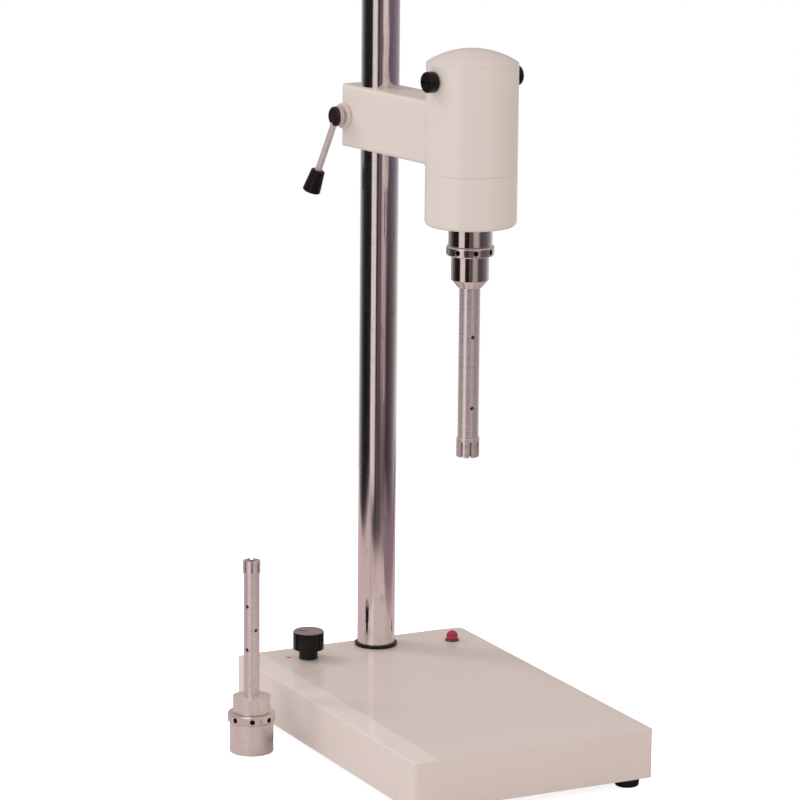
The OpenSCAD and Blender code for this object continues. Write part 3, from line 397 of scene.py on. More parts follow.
def circuit_board(name, colour):
    """Glass laminate under solder mask, with tracks that show as paler lines."""
    made = Finish(name, coat_weight=0.4, coat_roughness=0.2)
    cells = made.cells(260, "DISTANCE_TO_EDGE")["Distance"]
    tracks = remap(made.tree, cells, 0.03, 0.09, 1.0, 0.0)
    made.tint(tracks, colour, 1.0, 2.2)
    made.roughness(made.noise(900, 2), 0.35, 0.5)
    made.bump(tracks, 0.00003, 0.5)
    return made.material


def sintered(name, colour, rough, metallic=0.0):
    """Pressed powder, such as brush carbon or filled plastic."""
    made = Finish(name, metallic=metallic)
    specks = made.noise(1400, 4)
    made.tint(specks, colour, 0.6, 1.5)
    made.roughness(made.noise(200, 3), rough * 0.85, rough * 1.1)
    made.bump(specks, 0.00002, 0.5)
    return made.material


def printed(name, colour):
    """Screen print: flat ink with a slightly broken edge to its gloss."""
    made = Finish(name)
    made.tint(made.noise(1600, 3), colour, 0.85, 1.1)
    made.roughness(made.noise(700, 2), 0.35, 0.55)
    made.bump(made.noise(2200, 2), 0.00001, 0.4)
    return made.material


# Modelling with operators

def only(*chosen):
    """Selects these objects and nothing else, the first one active."""
    bpy.ops.object.select_all(action="DESELECT")
    for piece in chosen:
        piece.select_set(True)
    bpy.context.view_layer.objects.active = chosen[0]


def named(name):
    """Names the object that an operator has just made."""
    piece = bpy.context.view_layer.objects.active
    piece.name = piece.data.name = name
    return piece


def edit(piece):
    only(piece)
    bpy.ops.object.mode_set(mode="EDIT")


def leave():
    bpy.ops.object.mode_set(mode="OBJECT")


def pick(piece, kind, test):
    """In edit mode, selects the faces, edges or vertices that pass a test, and nothing else."""
    bpy.ops.mesh.select_mode(type={"faces": "FACE", "edges": "EDGE", "verts": "VERT"}[kind])
    bpy.ops.mesh.select_all(action="DESELECT")
    mesh = bmesh.from_edit_mesh(piece.data)
    found = [part for part in getattr(mesh, kind) if test(part)]
    for part in found:
        part.select_set(True)
    mesh.select_flush_mode()
    bmesh.update_edit_mesh(piece.data)
    if not found:
        raise RuntimeError(f"{piece.name}: no {kind} were found to work on")


def modify(piece, kind, **settings):
    """Adds a modifier and applies it."""
    only(piece)
    bpy.ops.object.modifier_add(type=kind)
    modifier = piece.modifiers[-1]
    for key, value in settings.items():
        setattr(modifier, key, value)
    bpy.ops.object.modifier_apply(modifier=modifier.name)


def smooth(piece, degrees):
    only(piece)
    bpy.ops.object.shade_smooth_by_angle(angle=math.radians(degrees), keep_sharp_edges=True)


def settle(piece):
    """Puts the piece's place, turn and size into its mesh."""
    only(piece)
    bpy.ops.object.transform_apply(location=True, rotation=True, scale=True)


def dress(piece, material, body, slot, *nodes):
    """Gives a piece its finish and its body, and hides the CAD nodes that it stands for; the slot is not
    used.
    """
    settle(piece)
    piece.data.materials.clear()
    piece.data.materials.append(material)
    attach(piece, body)
    if nodes:
        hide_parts(*nodes)
    return piece


def copy_of(node, name):
    """A merged copy of a CAD node, with flat parts made whole."""
    source = frame["nodes"][node]
    only(source)
    bpy.ops.object.duplicate()
    piece = named(name)
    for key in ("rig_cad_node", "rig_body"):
        if key in piece:
            del piece[key]
    piece.parent = None
    bpy.ops.mesh.customdata_custom_splitnormals_clear()
    edit(piece)
    bpy.ops.mesh.select_all(action="SELECT")
    bpy.ops.mesh.remove_doubles(threshold=0.000002)
    bpy.ops.mesh.dissolve_limited(angle_limit=math.radians(0.3))
    bpy.ops.mesh.mark_sharp(clear=True)
    leave()
    return piece


def soften(node, name, material, width, segments=2, degrees=40.0, shade=32.0, keep_line=None):
    """Replaces a CAD node by a copy whose sharp edges are rounded."""
    piece = copy_of(node, name)
    if keep_line:
        edit(piece)
        pick(piece, "edges", keep_line)
        bpy.ops.mesh.mark_sharp()
        leave()
    modify(piece, "BEVEL", limit_method="ANGLE", angle_limit=math.radians(degrees),
           width=width, segments=segments, use_clamp_overlap=True, miter_outer="MITER_ARC",
           offset_type="OFFSET", loop_slide=True)
    smooth(piece, shade)
    modify(piece, "WEIGHTED_NORMAL", keep_sharp=True, weight=60)
    return dress(piece, material, BODY_OF[node], SLOT_OF[node], node)


def finish_nodes(material, *nodes):
    """Gives CAD nodes their finish."""
    for node in nodes:
        frame["nodes"][node].material_slots[0].material = material


def middle(node):
    low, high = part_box(node)
    return (low + high) / 2


# What a user would change

def colour_setting(name, description, default):
    return bpy.props.FloatVectorProperty(name=name, description=description, subtype="COLOR", size=3,
                                         min=0, max=1, default=default)


def length_setting(name, description, low, high, default):
    return bpy.props.FloatProperty(name=name, description=description, min=low, max=high, unit="LENGTH",
                                   default=default)


def count_setting(name, description, low, high, default):
    return bpy.props.IntProperty(name=name, description=description, min=low, max=high, default=default)


class HomogenizerColours(bpy.types.PropertyGroup):
    paint: colour_setting("Paint", "Colour of the painted castings and base", (0.59, 0.55, 0.52))
    chrome: colour_setting("Chrome", "Colour of the chromed column", (0.86, 0.79, 0.80))
    steel: colour_setting("Steel", "Colour of the turned working heads", (0.84, 0.77, 0.76))
    tube: colour_setting("Tube", "Colour of the satin working tubes", (0.80, 0.72, 0.72))
    plastic: colour_setting("Plastic", "Colour of knob, caps and grip", (0.006, 0.005, 0.005))
    rubber: colour_setting("Rubber", "Colour of feet and grommets", (0.008, 0.0075, 0.007))
    lamp: colour_setting("Pilot lens", "Colour of the pilot lamp's lens", (0.55, 0.02, 0.06))
    mark: colour_setting("Scale mark", "Colour of the start mark beside the knob", (0.60, 0.09, 0.09))


class HomogenizerSizes(bpy.types.PropertyGroup):
    paint_gloss: bpy.props.FloatProperty(
        name="Paint gloss", description="Roughness of the enamel's clear surface", min=0, max=1,
        subtype="FACTOR", default=0.07)
    shell_edge: length_setting("Base edge", "Radius of the base's bent edges", 0.0002, 0.003, 0.0014)
    casting_edge: length_setting("Casting edge", "Radius of the castings' edges", 0.0001, 0.001, 0.0004)
    steel_edge: length_setting("Steel edge", "Chamfer on turned steel", 0.00005, 0.0005, 0.0002)
    knob_flutes: count_setting("Knob flutes", "Number of grooves round the speed knob", 12, 48, 30)
    flute_depth: length_setting("Flute depth", "Depth of the grooves round the knob", 0.0001, 0.001, 0.00035)
    scale_radius: length_setting("Scale radius", "Inner radius of the printed scale", 0.013, 0.02, 0.0138)
    scale_ticks: count_setting("Scale ticks", "Number of divisions of the speed scale", 2, 20, 10)
    spring_turns: count_setting("Spring turns", "Turns of each brush spring", 4, 16, 9)
    floor_width: length_setting("Floor width", "Width of the pale table top", 1.0, 3.0, 1.2)


def colours():
    return bpy.context.scene.homogenizer_colours


def sizes():
    return bpy.context.scene.homogenizer_sizes


# Stage

class HOMOGENIZER_OT_stage(bpy.types.Operator):
    """Lays the pale floor, sets the studio light and places the camera"""
    bl_idname = "homogenizer.stage"
    bl_label = "Studio stage"

    def execute(self, context):
        self.floor()
        self.surroundings(context.scene)
        self.lights()
        self.camera(context.scene)
        context.scene.view_settings.view_transform = "Standard"
        return {"FINISHED"}

    def floor(self):
        width = sizes().floor_width
        along = Vector((math.cos(FLOOR_TURN), math.sin(FLOOR_TURN), 0.0))
        across = Vector((along.y, -along.x, 0.0))
        centre = FLOOR_CORNER + along * width / 2 + across * FLOOR_DEPTH / 2
        bpy.ops.object.select_all(action="DESELECT")
        bpy.ops.mesh.primitive_plane_add(size=1, location=centre, rotation=(0, 0, FLOOR_TURN))
        piece = named("studio_floor")
        piece.scale = (width, FLOOR_DEPTH, 1.0)
        settle(piece)
        made = Finish("pale_floor", specular_ior_level=0.1)
        pale = blend_colour(made.tree, made.noise(6, 2), (0.80, 0.76, 0.75, 1.0), (0.84, 0.80, 0.79, 1.0))
        # In reflections the floor is painted darker, and darker still out to the right: a painted shadow of
        # the base and motor.
        path = add(made.tree, "ShaderNodeLightPath").outputs
        outward = add(made.tree, "ShaderNodeVectorMath", {0: made.place, 1: (0.77, -0.64, 0.0)},
                      operation="DOT_PRODUCT").outputs["Value"]
        painted_shade_in_reflections = blend_colour(made.tree, remap(made.tree, outward, 0.16, 0.34, 0.0, 1.0),
                                (0.52, 0.46, 0.465, 1.0), (0.22, 0.17, 0.20, 1.0))
        made.set(base_color=blend_colour(made.tree, path["Is Glossy Ray"], pale, painted_shade_in_reflections))
        made.roughness(made.noise(20, 2), 0.8, 0.95)
        made.bump(made.noise(500, 2), 0.00005, 0.2)
        made.set(emission_color=(1.0, 1.0, 1.0))
        made.set(emission_strength=math_node(made.tree, "MULTIPLY", path["Is Camera Ray"], 0.8))
        piece.data.materials.append(made.material)

    def surroundings(self, scene):
        """White to the eye; to polished metal a room of light and dark strips round the camera."""
        scene.world = bpy.data.worlds.new("studio_room")
        scene.world.use_nodes = True
        tree = scene.world.node_tree
        tree.nodes.clear()
        where = add(tree, "ShaderNodeTexCoord").outputs["Generated"]
        level = CAMERA_BACK.copy()
        level.z = 0.0
        level.normalize()
        across = Vector((-level.y, level.x, 0.0))

        def along(direction):
            return add(tree, "ShaderNodeVectorMath", {0: where, 1: direction},
                       operation="DOT_PRODUCT").outputs["Value"]

        turn = math_node(tree, "ARCTAN2", along(across), along(level))
        share = math_node(tree, "MULTIPLY_ADD", turn, 0.5 / math.pi, 0.5)
        height = add(tree, "ShaderNodeSeparateXYZ", {0: where}).outputs["Z"]

        def at(degrees):
            return (degrees + 180) / 360

        # Turn in degrees and brightness of what the left sides mirror, the same at every height
        left_rim = [(-180, 0.90), (-160, 0.75), (-141, 0.42), (-126, 0.20), (-114, 0.09), (-103, 0.030),
                    (-92, 0.006), (-80, 0.003), (-9, 0.003)]

        def room_strips(*stops):
            rim = [(at(turn), (bright, bright * 0.97, bright * 0.96)) for turn, bright in left_rim]
            return ramp(tree, share, rim + [(at(turn), colour) for turn, colour in stops])

        # What the right sides mirror above, below and well below the camera's level
        high = room_strips(
            (-3, (0.13, 0.10, 0.09)), (12, (0.12, 0.09, 0.085)),
            (20, (0.72, 0.64, 0.62)), (41, (0.76, 0.68, 0.67)), (53, (0.17, 0.14, 0.17)),
            (75, (0.14, 0.11, 0.155)), (110, (0.23, 0.19, 0.245)), (135, (0.34, 0.31, 0.36)),
            (180, (0.75, 0.72, 0.72)))
        low = room_strips(
            (-3, (0.14, 0.10, 0.085)), (13, (0.14, 0.10, 0.085)),
            (20, (0.50, 0.42, 0.39)), (38, (0.42, 0.35, 0.33)), (49, (0.045, 0.030, 0.028)),
            (65, (0.050, 0.036, 0.033)), (97, (0.16, 0.13, 0.13)), (117, (0.31, 0.28, 0.28)),
            (135, (0.56, 0.52, 0.52)), (180, (0.95, 0.92, 0.92)))
        dim = room_strips(
            (-4, (0.10, 0.07, 0.07)), (4, (0.040, 0.024, 0.026)), (60, (0.034, 0.021, 0.022)),
            (84, (0.092, 0.070, 0.074)), (101, (0.19, 0.16, 0.165)), (123, (0.44, 0.40, 0.41)),
            (139, (0.68, 0.64, 0.65)), (180, (0.95, 0.92, 0.92)))
        strips = blend_colour(tree, remap(tree, height, -0.175, -0.135, 0.0, 1.0), low, high)
        strips = blend_colour(tree, remap(tree, height, -0.212, -0.200, 0.0, 1.0), dim, strips)
        overhead = ramp(tree, height, [
            (0.0, (0.34, 0.28, 0.28)), (0.2, (0.36, 0.30, 0.29)), (0.3, (0.50, 0.44, 0.41)),
            (1.0, (0.55, 0.48, 0.46)),
        ])
        room = blend_colour(tree, remap(tree, height, 0.03, 0.10, 0.0, 1.0), strips, overhead)
        soft = ramp(tree, share, [
            (at(-180), (0.92, 0.90, 0.87)), (at(-110), (1.06, 1.05, 1.03)), (at(-60), (1.10, 1.08, 1.06)),
            (at(-20), (0.98, 0.94, 0.91)), (at(30), (0.96, 0.88, 0.83)), (at(90), (0.96, 0.87, 0.83)),
            (at(180), (0.92, 0.90, 0.87)),
        ])
        above = blend_colour(tree, remap(tree, height, 0.15, 0.75, 0.0, 1.0), (1.0, 1.0, 1.0, 1.0),
                             (0.92, 0.84, 0.85, 1.0))
        soft = blend_colour(tree, 1.0, soft, above, "MULTIPLY")
        path = add(tree, "ShaderNodeLightPath")
        light = blend_colour(tree, path.outputs["Is Glossy Ray"], soft, room)
        light = blend_colour(tree, path.outputs["Is Camera Ray"], light, (1.0, 1.0, 1.0, 1.0))
        background = add(tree, "ShaderNodeBackground", {"Color": light, "Strength": 1.0})
        out = add(tree, "ShaderNodeOutputWorld")
        tree.links.new(background.outputs[0], out.inputs["Surface"])

    def lights(self):
        for name, at, target, size, power, colour in LIGHTS:
            bpy.ops.object.select_all(action="DESELECT")
            bpy.ops.object.light_add(type="AREA", location=at)
            lamp = bpy.context.view_layer.objects.active
            lamp.name = lamp.data.name = name
            lamp.data.shape = "ELLIPSE" if size[0] == size[1] else "RECTANGLE"
            lamp.data.size, lamp.data.size_y = size
            lamp.data.energy = power
            lamp.data.color = colour
            lamp.data.use_shadow = not name.endswith("fill")
            card = name.endswith("card")
            lamp.visible_camera, lamp.visible_glossy, lamp.visible_diffuse = False, card, not card
            lamp.rotation_euler = (Vector(target) - Vector(at)).to_track_quat("-Z", "Y").to_euler()

    def camera(self, scene):
        base = middle("base_shell")
        at = Vector((base.x, base.y, 0.0)) + CAMERA_FROM_BASE
        bpy.ops.object.select_all(action="DESELECT")
        bpy.ops.object.camera_add(location=at)
        camera = bpy.context.view_layer.objects.active
        camera.name = camera.data.name = "photo_view"
        camera.data.sensor_fit = "HORIZONTAL"
        camera.data.sensor_width = CAMERA_SENSOR
        camera.data.lens = CAMERA_LENS
        camera.data.clip_start = 0.05
        camera.data.clip_end = 20.0
        turn = Matrix((CAMERA_RIGHT, CAMERA_UP, CAMERA_BACK)).transposed().to_4x4()
        camera.matrix_world = Matrix.Translation(at) @ turn
        scene.camera = camera


# Pieces

def head(nodes, names, inner, bushes, mark, rough, metallic, brushed):
    """Softens and finishes one working head; the last three settings are for its sleeve and body."""
    centre = middle(nodes[0])
    steel_colour = colours().steel
    for node, name in zip(nodes, names):
        low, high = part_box(node)
        if node.endswith("ring"):
            radius, half = (high.x - low.x) / 2, (high.z - low.z) / 2
            steel = ringed(f"bright_steel_{name}", steel_colour, middle(node), 0.2, radius, half)
        elif node.endswith("tube"):
            steel = turned(f"polished_steel_{name}", colours().tube, centre, 0.32,
                           metallic=0.82, brushed=0.85)
        else:
            steel = turned(f"bright_steel_{name}", steel_colour, centre, rough,
                           metallic=metallic, brushed=brushed)
        soften(node, name, steel, sizes().steel_edge, 2, 50, 34)
    finish_nodes(turned(f"bright_steel_{mark}_shaft", steel_colour, centre, 0.2), *inner)
    finish_nodes(sintered(f"white_ptfe_{mark}", (0.80, 0.79, 0.76), 0.42), bushes)


class HOMOGENIZER_OT_base_shell(bpy.types.Operator):
    """Paints the sheet base and rounds its bent edges"""
    bl_idname = "homogenizer.base_shell"
    bl_label = "Painted base"

    def execute(self, context):
        low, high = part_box("base_shell")
        # The left margin of the base is painted lighter: painted light from the left.
        paint = painted("painted_beige_sheet", colours().paint, sizes().paint_gloss,
                        (low.x + MARGIN_WIDTH, high.z - MARGIN_FALL))

        def crown_line(edge):
            first, second = (v.co for v in edge.verts)
            return (len(edge.link_faces) == 2 and edge.calc_length() > 0.02
                    and min(first.z, second.z) > high.z - 0.0016
                    and math.radians(0.5) < edge.calc_face_angle(0.0) < math.radians(12))

        soften("base_shell", "painted_base_shell", paint, sizes().shell_edge, 4, 45.0, 30.0, crown_line)
        return {"FINISHED"}


class HOMOGENIZER_OT_base_bottom(bpy.types.Operator):
    """Finishes the bottom plate, its screws and the rubber feet"""
    bl_idname = "homogenizer.base_bottom"
    bl_label = "Bottom plate and feet"

    def execute(self, context):
        zinc = plated("zinc_steel_plate", (0.55, 0.56, 0.57), 0.34)
        soften("bottom_plate", "zinc_bottom_plate", zinc, 0.0003)
        finish_nodes(plated("zinc_steel_parts", (0.60, 0.60, 0.60), 0.28),
                     "column_flange", "column_nut", "pot_nut", "clamp_nut", "board_standoffs")
        finish_nodes(plated("black_screw_oxide", (0.03, 0.03, 0.033), 0.38), "base_screws", "housing_screws")
        rubber = rubbery("rubber_black", colours().rubber)
        soften("rubber_feet", "moulded_feet", rubber, 0.0007, 3)
        finish_nodes(rubber, "base_grommet", "motor_grommet")
        return {"FINISHED"}


class HOMOGENIZER_OT_column(bpy.types.Operator):
    """Chromes the column and finishes its ring and liner"""
    bl_idname = "homogenizer.column"
    bl_label = "Chromed column"

    def execute(self, context):
        soften("column", "chromed_column", chromed("chrome_ground", colours().chrome), 0.0005, 3, 40, 30)
        finish_nodes(moulded("black_plastic_ring", colours().plastic, 0.35), "column_foot_ring")
        finish_nodes(sintered("white_ptfe_liner", (0.80, 0.79, 0.76), 0.45), "column_liner")
        return {"FINISHED"}


class HOMOGENIZER_OT_castings(bpy.types.Operator):
    """Paints the arm, the dome and the lower housing and rounds their worked edges"""
    bl_idname = "homogenizer.castings"
    bl_label = "Painted castings"

    def execute(self, context):
        paint = painted("painted_beige_casting", colours().paint, sizes().paint_gloss)
        for node, name in (("arm_casting", "painted_arm"), ("motor_dome", "painted_dome"),
                           ("lower_housing", "painted_lower_housing")):
            soften(node, name, paint, sizes().casting_edge, 2, 50.0, 34.0)
        return {"FINISHED"}


class HOMOGENIZER_OT_clamp_lever(bpy.types.Operator):
    """Finishes the clamp: stud, washer, hub, rod and grip"""
    bl_idname = "homogenizer.clamp_lever"
    bl_label = "Clamp lever"

    def execute(self, context):
        rings = turned("satin_washer_face", (0.68, 0.61, 0.59), middle("clamp_washer"), 0.5, "X",
                       metallic=0.3)
        soften("clamp_washer", "satin_clamp_washer", rings, 0.0001, 1, 50)
        tip = middle("lever_hub")
        tip.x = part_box("lever_hub")[0].x
        hub = collared("black_screw_hub", (0.035, 0.020, 0.022), (0.60, 0.53, 0.52), tip, 0.0042)
        soften("lever_hub", "turned_lever_hub", hub, 0.0002, 2, 50)
        steel = turned("bright_steel_lever", (0.68, 0.62, 0.62), middle("lever_hub"), 0.4, "X", metallic=0.6)
        finish_nodes(steel, "clamp_stud", "lever_rod")
        soften("lever_grip", "moulded_grip", moulded("black_plastic_grip", colours().plastic, 0.34),
               0.0004, 2, 40)
        return {"FINISHED"}


class HOMOGENIZER_OT_speed_knob(bpy.types.Operator):
    """Models the fluted speed knob with its neck and dished top"""
    bl_idname = "homogenizer.speed_knob"
    bl_label = "Speed knob"

    def execute(self, context):
        low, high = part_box("speed_knob")
        centre = (low + high) / 2
        radius = (high.x - low.x) / 2
        cap_low = low.z + KNOB_NECK_H
        columns = 3 * sizes().knob_flutes
        bpy.ops.object.select_all(action="DESELECT")
        bpy.ops.mesh.primitive_cylinder_add(
            vertices=columns, radius=radius, depth=high.z - cap_low,
            location=(centre.x, centre.y, (high.z + cap_low) / 2))
        piece = named("fluted_speed_knob")
        settle(piece)
        edit(piece)

        def rim(level):
            return lambda edge: all(abs(v.co.z - level) < 1e-5 for v in edge.verts)

        pick(piece, "edges", rim(high.z))
        bpy.ops.mesh.bevel(offset=0.0011, segments=4, profile=0.5)
        pick(piece, "edges", rim(cap_low))
        bpy.ops.mesh.bevel(offset=0.0004, segments=2, profile=0.5)

        def groove(face):
            if abs(face.normal.z) > 0.1 or face.calc_center_median().z < cap_low + 0.001:
                return False
            at = face.calc_center_median() - centre
            step = round(math.atan2(at.y, at.x) / (2 * math.pi) * columns - 0.5)
            tall = max(v.co.z for v in face.verts) - min(v.co.z for v in face.verts) > 0.005
            return tall and step % 3 == 0

        pick(piece, "faces", groove)
        bpy.ops.mesh.inset(thickness=0.00012, depth=-sizes().flute_depth, use_individual=True)
        pick(piece, "faces", lambda face: (
            face.normal.z > 0.9 and face.calc_center_median().z > high.z - 1e-5))
        bpy.ops.mesh.inset(thickness=0.0016, depth=0.0)
        bpy.ops.mesh.inset(thickness=0.0005, depth=-0.0004)
        pick(piece, "faces", lambda face: (
            face.normal.z < -0.9 and face.calc_center_median().z < cap_low + 1e-5))
        bpy.ops.mesh.inset(thickness=radius - 0.0004 - KNOB_NECK_R, depth=0.0)
        bpy.ops.mesh.extrude_region_move(TRANSFORM_OT_translate={"value": (0, 0, low.z - cap_low)})
        # Every run then gives the same order of faces
        bpy.ops.mesh.select_all(action="SELECT")
        bpy.ops.mesh.sort_elements(type="CURSOR_DISTANCE", elements={"VERT", "EDGE", "FACE"})
        leave()
        smooth(piece, 34)
        body = BODY_OF["speed_knob"]
        # The knob's paler top is a painted highlight.
        dress(piece, knob_black("black_gloss_knob", colours().plastic, (0.21, 0.185, 0.185), centre,
                                high.z - centre.z), body, "black_gloss", "speed_knob")
        finish_nodes(turned("bright_steel_shaft", colours().steel, middle("pot_shaft"), 0.2), "pot_shaft")
        finish_nodes(plated("grey_metal_can", (0.42, 0.42, 0.43), 0.36), "potentiometer")
        self.pointer(centre, radius, high.z, body)
        self.scale(centre)
        return {"FINISHED"}

    def pointer(self, centre, radius, top, body):
        """A thin raised line from the middle of the top to its rim."""
        turn = math.radians(KNOB_START)
        out = Vector((math.cos(turn), math.sin(turn), 0))
        bpy.ops.object.select_all(action="DESELECT")
        bpy.ops.mesh.primitive_cube_add(size=1, location=centre + out * (radius * 0.42),
                                        rotation=(0, 0, turn))
        piece = named("knob_pointer")
        piece.location.z = top - 0.00032
        piece.scale = (radius * 0.62, 0.0009, 0.0003)
        settle(piece)
        edit(piece)
        bpy.ops.mesh.select_all(action="SELECT")
        bpy.ops.mesh.bevel(offset=0.0001, segments=2)
        leave()
        smooth(piece, 40)
        dress(piece, printed("pointer_ink", (0.02, 0.019, 0.018)), body, "black_gloss")

    def scale(self, centre):
        """Ticks printed round the knob; the start mark is red and wider."""
        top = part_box("base_shell")[1].z
        count, inner = sizes().scale_ticks, sizes().scale_radius
        ink = printed("scale_ink", (0.30, 0.26, 0.24))
        red = printed("start_mark_ink", colours().mark)
        made = []
        for k in range(count + 1):
            turn = math.radians(KNOB_START - KNOB_SWEEP * k / count)
            first = k == 0
            length, width = START_MARK if first else SCALE_TICK
            out = Vector((math.cos(turn), math.sin(turn), 0))
            bpy.ops.object.select_all(action="DESELECT")
            bpy.ops.mesh.primitive_cube_add(size=1, location=(0, 0, 0), rotation=(0, 0, turn))
            tick = named("speed_start_mark" if first else f"scale_tick_{k}")
            tick.location = centre + out * (inner + length / 2)
            tick.location.z = top + INK_HEIGHT / 6
            tick.scale = (length, width, INK_HEIGHT)
            settle(tick)
            edit(tick)
            bpy.ops.mesh.select_all(action="SELECT")
            bpy.ops.mesh.subdivide(number_cuts=1)
            if first:
                pick(tick, "verts", lambda v, o=out: (v.co - centre).xy.dot(o.xy) > inner + length * 0.9)
                bpy.ops.transform.resize(value=(0.35, 0.35, 1.0))
            leave()
            if first:
                dress(tick, red, BODY_OF["base_shell"], "red_lens")
            else:
                made.append(tick)
        only(*made)
        bpy.ops.object.join()
        dress(named("speed_scale"), ink, BODY_OF["base_shell"], "black_plastic")


class HOMOGENIZER_OT_pilot_lamp(bpy.types.Operator):
    """Finishes the pilot lamp's body and its red lens"""
    bl_idname = "homogenizer.pilot_lamp"
    bl_label = "Pilot lamp"

    def execute(self, context):
        finish_nodes(plated("grey_metal_bezel", (0.16, 0.15, 0.15), 0.3), "lamp_housing")
        soften("lamp_lens", "red_pilot_lens", lens("red_lens_ribbed", colours().lamp, middle("lamp_lens")),
               0.0003, 2, 50)
        return {"FINISHED"}


class HOMOGENIZER_OT_working_head(bpy.types.Operator):
    """Finishes the mounted working head: sleeve, lock ring, body, tube, shaft and rotor"""
    bl_idname = "homogenizer.working_head"
    bl_label = "Working head"

    def execute(self, context):
        head(("head_sleeve", "lock_ring", "head_body", "stator_tube"),
             ("turned_sleeve", "turned_lock_ring", "turned_head_body", "polished_stator_tube"),
             ("drive_shaft", "rotor"), "tube_bushes", "head",
             rough=0.10, metallic=1.0, brushed=0.0)
        return {"FINISHED"}


class HOMOGENIZER_OT_spare_head(bpy.types.Operator):
    """Finishes the spare working head that stands on the bench"""
    bl_idname = "homogenizer.spare_head"
    bl_label = "Spare head"

    def execute(self, context):
        head(("spare_sleeve", "spare_lock_ring", "spare_body", "spare_stator_tube"),
             ("turned_spare_sleeve", "turned_spare_ring", "turned_spare_body", "polished_spare_tube"),
             ("spare_drive_shaft", "spare_rotor"), "spare_bushes", "spare",
             rough=0.26, metallic=0.82, brushed=0.85)
        return {"FINISHED"}


class HOMOGENIZER_OT_brush_gear(bpy.types.Operator):
    """Finishes caps, holders and brushes, and winds the brush springs"""
    bl_idname = "homogenizer.brush_gear"
    bl_label = "Brush gear"

    def execute(self, context):
        soften("brush_caps", "moulded_brush_caps",
               moulded("black_gloss_caps", colours().plastic, 0.3, 1200, 0.00002), 0.0002, 2, 50)
        finish_nodes(plated("brass_holder", (0.62, 0.45, 0.18), 0.28), "brush_holders")
        finish_nodes(sintered("carbon_brush", (0.025, 0.025, 0.027), 0.55, 0.3), "carbon_brushes")
        self.springs()
        return {"FINISHED"}

    def springs(self):
        low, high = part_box("brush_springs")
        centre = (low + high) / 2
        axis = middle("motor_dome")
        wire, radius = 0.00032, (high.y - low.y) / 2 - 0.00036
        reach = high.x - axis.x
        inner = self.inner_end(axis)
        turns = sizes().spring_turns
        pitch = (reach - inner - 2 * wire) / turns
        bpy.ops.object.select_all(action="DESELECT")
        bpy.ops.mesh.primitive_circle_add(vertices=10, radius=wire, location=(0, 0, 0),
                                          rotation=(math.pi / 2, 0, 0))
        spring = named("wound_brush_spring_right")
        settle(spring)
        edit(spring)
        bpy.ops.mesh.select_all(action="SELECT")
        bpy.ops.transform.translate(value=(radius, 0, 0))
        leave()
        modify(spring, "SCREW", axis="Z", screw_offset=pitch, iterations=turns, steps=22,
               render_steps=22, use_smooth_shade=True)
        edit(spring)
        bpy.ops.mesh.select_all(action="SELECT")
        bpy.ops.mesh.select_mode(type="EDGE")
        pick(spring, "edges", lambda edge: edge.is_boundary)
        bpy.ops.mesh.edge_face_add()
        bpy.ops.mesh.select_all(action="SELECT")
        bpy.ops.mesh.normals_make_consistent(inside=False)
        leave()
        smooth(spring, 50)
        spring.rotation_euler = (0, math.pi / 2, 0)
        spring.location = (axis.x + inner + wire, centre.y, centre.z)
        settle(spring)
        bpy.ops.object.duplicate()
        other = named("wound_brush_spring_left")
        edit(other)
        bpy.ops.mesh.select_all(action="SELECT")
        bpy.ops.transform.rotate(value=math.pi, orient_axis="Z", center_override=(axis.x, axis.y, centre.z))
        leave()
        steel = turned("bright_spring_wire", colours().steel, centre, 0.22, "X", 0.0004)
        dress(spring, steel, BODY_OF["brush_springs"], "bright_steel", "brush_springs")
        dress(other, steel, BODY_OF["brush_springs"], "bright_steel", "brush_springs")

    def inner_end(self, axis):
        """Where a spring starts, out from the motor's axis."""
        return min(v.co.x - axis.x for v in frame["nodes"]["brush_springs"].data.vertices if v.co.x > axis.x)


class HOMOGENIZER_OT_motor(bpy.types.Operator):
    """Finishes field, armature, commutator, fan and bearings"""
    bl_idname = "homogenizer.motor"
    bl_label = "Motor"

    def execute(self, context):
        axis = middle("armature_core")
        finish_nodes(laminated("laminations_stack", (0.34, 0.33, 0.33), 0.0005),
                     "field_stator", "armature_core")
        finish_nodes(enamelled_wire("copper_wire", (0.62, 0.25, 0.10), 0.0006, axis),
                     "field_coils", "armature_windings")
        finish_nodes(turned("copper_segments", (0.72, 0.36, 0.22), axis, 0.22), "commutator")
        steel = turned("bright_steel_motor", colours().steel, axis, 0.18)
        finish_nodes(steel, "motor_shaft", "upper_bearing", "lower_bearing")
        finish_nodes(turned("grey_metal_nose", (0.5, 0.49, 0.48), axis, 0.25), "nose_bush")
        finish_nodes(moulded("fan_plastic_grey", (0.05, 0.05, 0.052), 0.45), "cooling_fan")
        return {"FINISHED"}


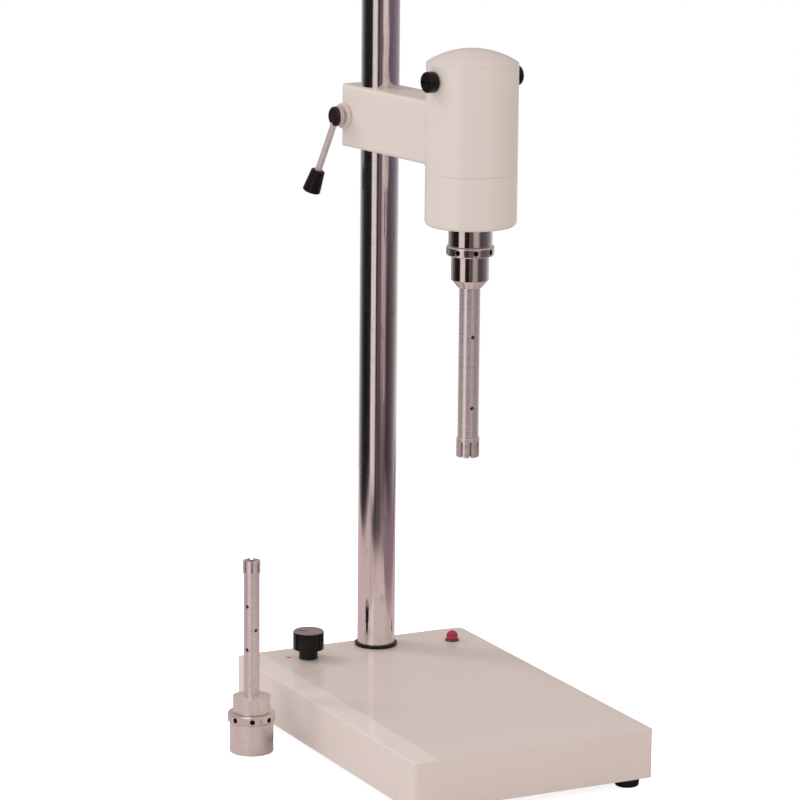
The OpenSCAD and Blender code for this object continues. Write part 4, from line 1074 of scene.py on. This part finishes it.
class HOMOGENIZER_OT_electronics(bpy.types.Operator):
    """Finishes the control board, its parts and the mains inlet"""
    bl_idname = "homogenizer.electronics"
    bl_label = "Control board"

    def execute(self, context):
        finish_nodes(circuit_board("board_green_mask", (0.02, 0.13, 0.06)), "control_board")
        finish_nodes(moulded("board_parts_mixed", (0.05, 0.05, 0.06), 0.4), "board_parts")
        soften("mains_inlet", "moulded_inlet", moulded("black_plastic_inlet", colours().plastic, 0.42),
               0.0004, 2, 50)
        return {"FINISHED"}


class HOMOGENIZER_PT_pieces(bpy.types.Panel):
    """Lists the pieces in the order in which they are made"""
    bl_label = "Homogenizer"
    bl_idname = "HOMOGENIZER_PT_pieces"
    bl_space_type = "VIEW_3D"
    bl_region_type = "UI"
    bl_category = "Homogenizer"

    def draw(self, context):
        for step in STEPS:
            self.layout.operator(step.bl_idname)
        for group in (context.scene.homogenizer_colours, context.scene.homogenizer_sizes):
            box = self.layout.box()
            for key in group.__annotations__:
                box.prop(group, key)


STEPS = (
    HOMOGENIZER_OT_stage, HOMOGENIZER_OT_base_shell, HOMOGENIZER_OT_base_bottom, HOMOGENIZER_OT_column,
    HOMOGENIZER_OT_castings, HOMOGENIZER_OT_clamp_lever, HOMOGENIZER_OT_speed_knob,
    HOMOGENIZER_OT_pilot_lamp, HOMOGENIZER_OT_working_head, HOMOGENIZER_OT_spare_head,
    HOMOGENIZER_OT_brush_gear, HOMOGENIZER_OT_motor, HOMOGENIZER_OT_electronics,
)
CLASSES = (HomogenizerColours, HomogenizerSizes, *STEPS, HOMOGENIZER_PT_pieces)


def register():
    for made in CLASSES:
        bpy.utils.register_class(made)
    bpy.types.Scene.homogenizer_colours = bpy.props.PointerProperty(type=HomogenizerColours)
    bpy.types.Scene.homogenizer_sizes = bpy.props.PointerProperty(type=HomogenizerSizes)


def unregister():
    del bpy.types.Scene.homogenizer_sizes
    del bpy.types.Scene.homogenizer_colours
    for made in reversed(CLASSES):
        bpy.utils.unregister_class(made)


def main():
    register()
    for step in STEPS:
        group, name = step.bl_idname.split(".")
        getattr(getattr(bpy.ops, group), name)()


if __name__ == "__main__":
    main()
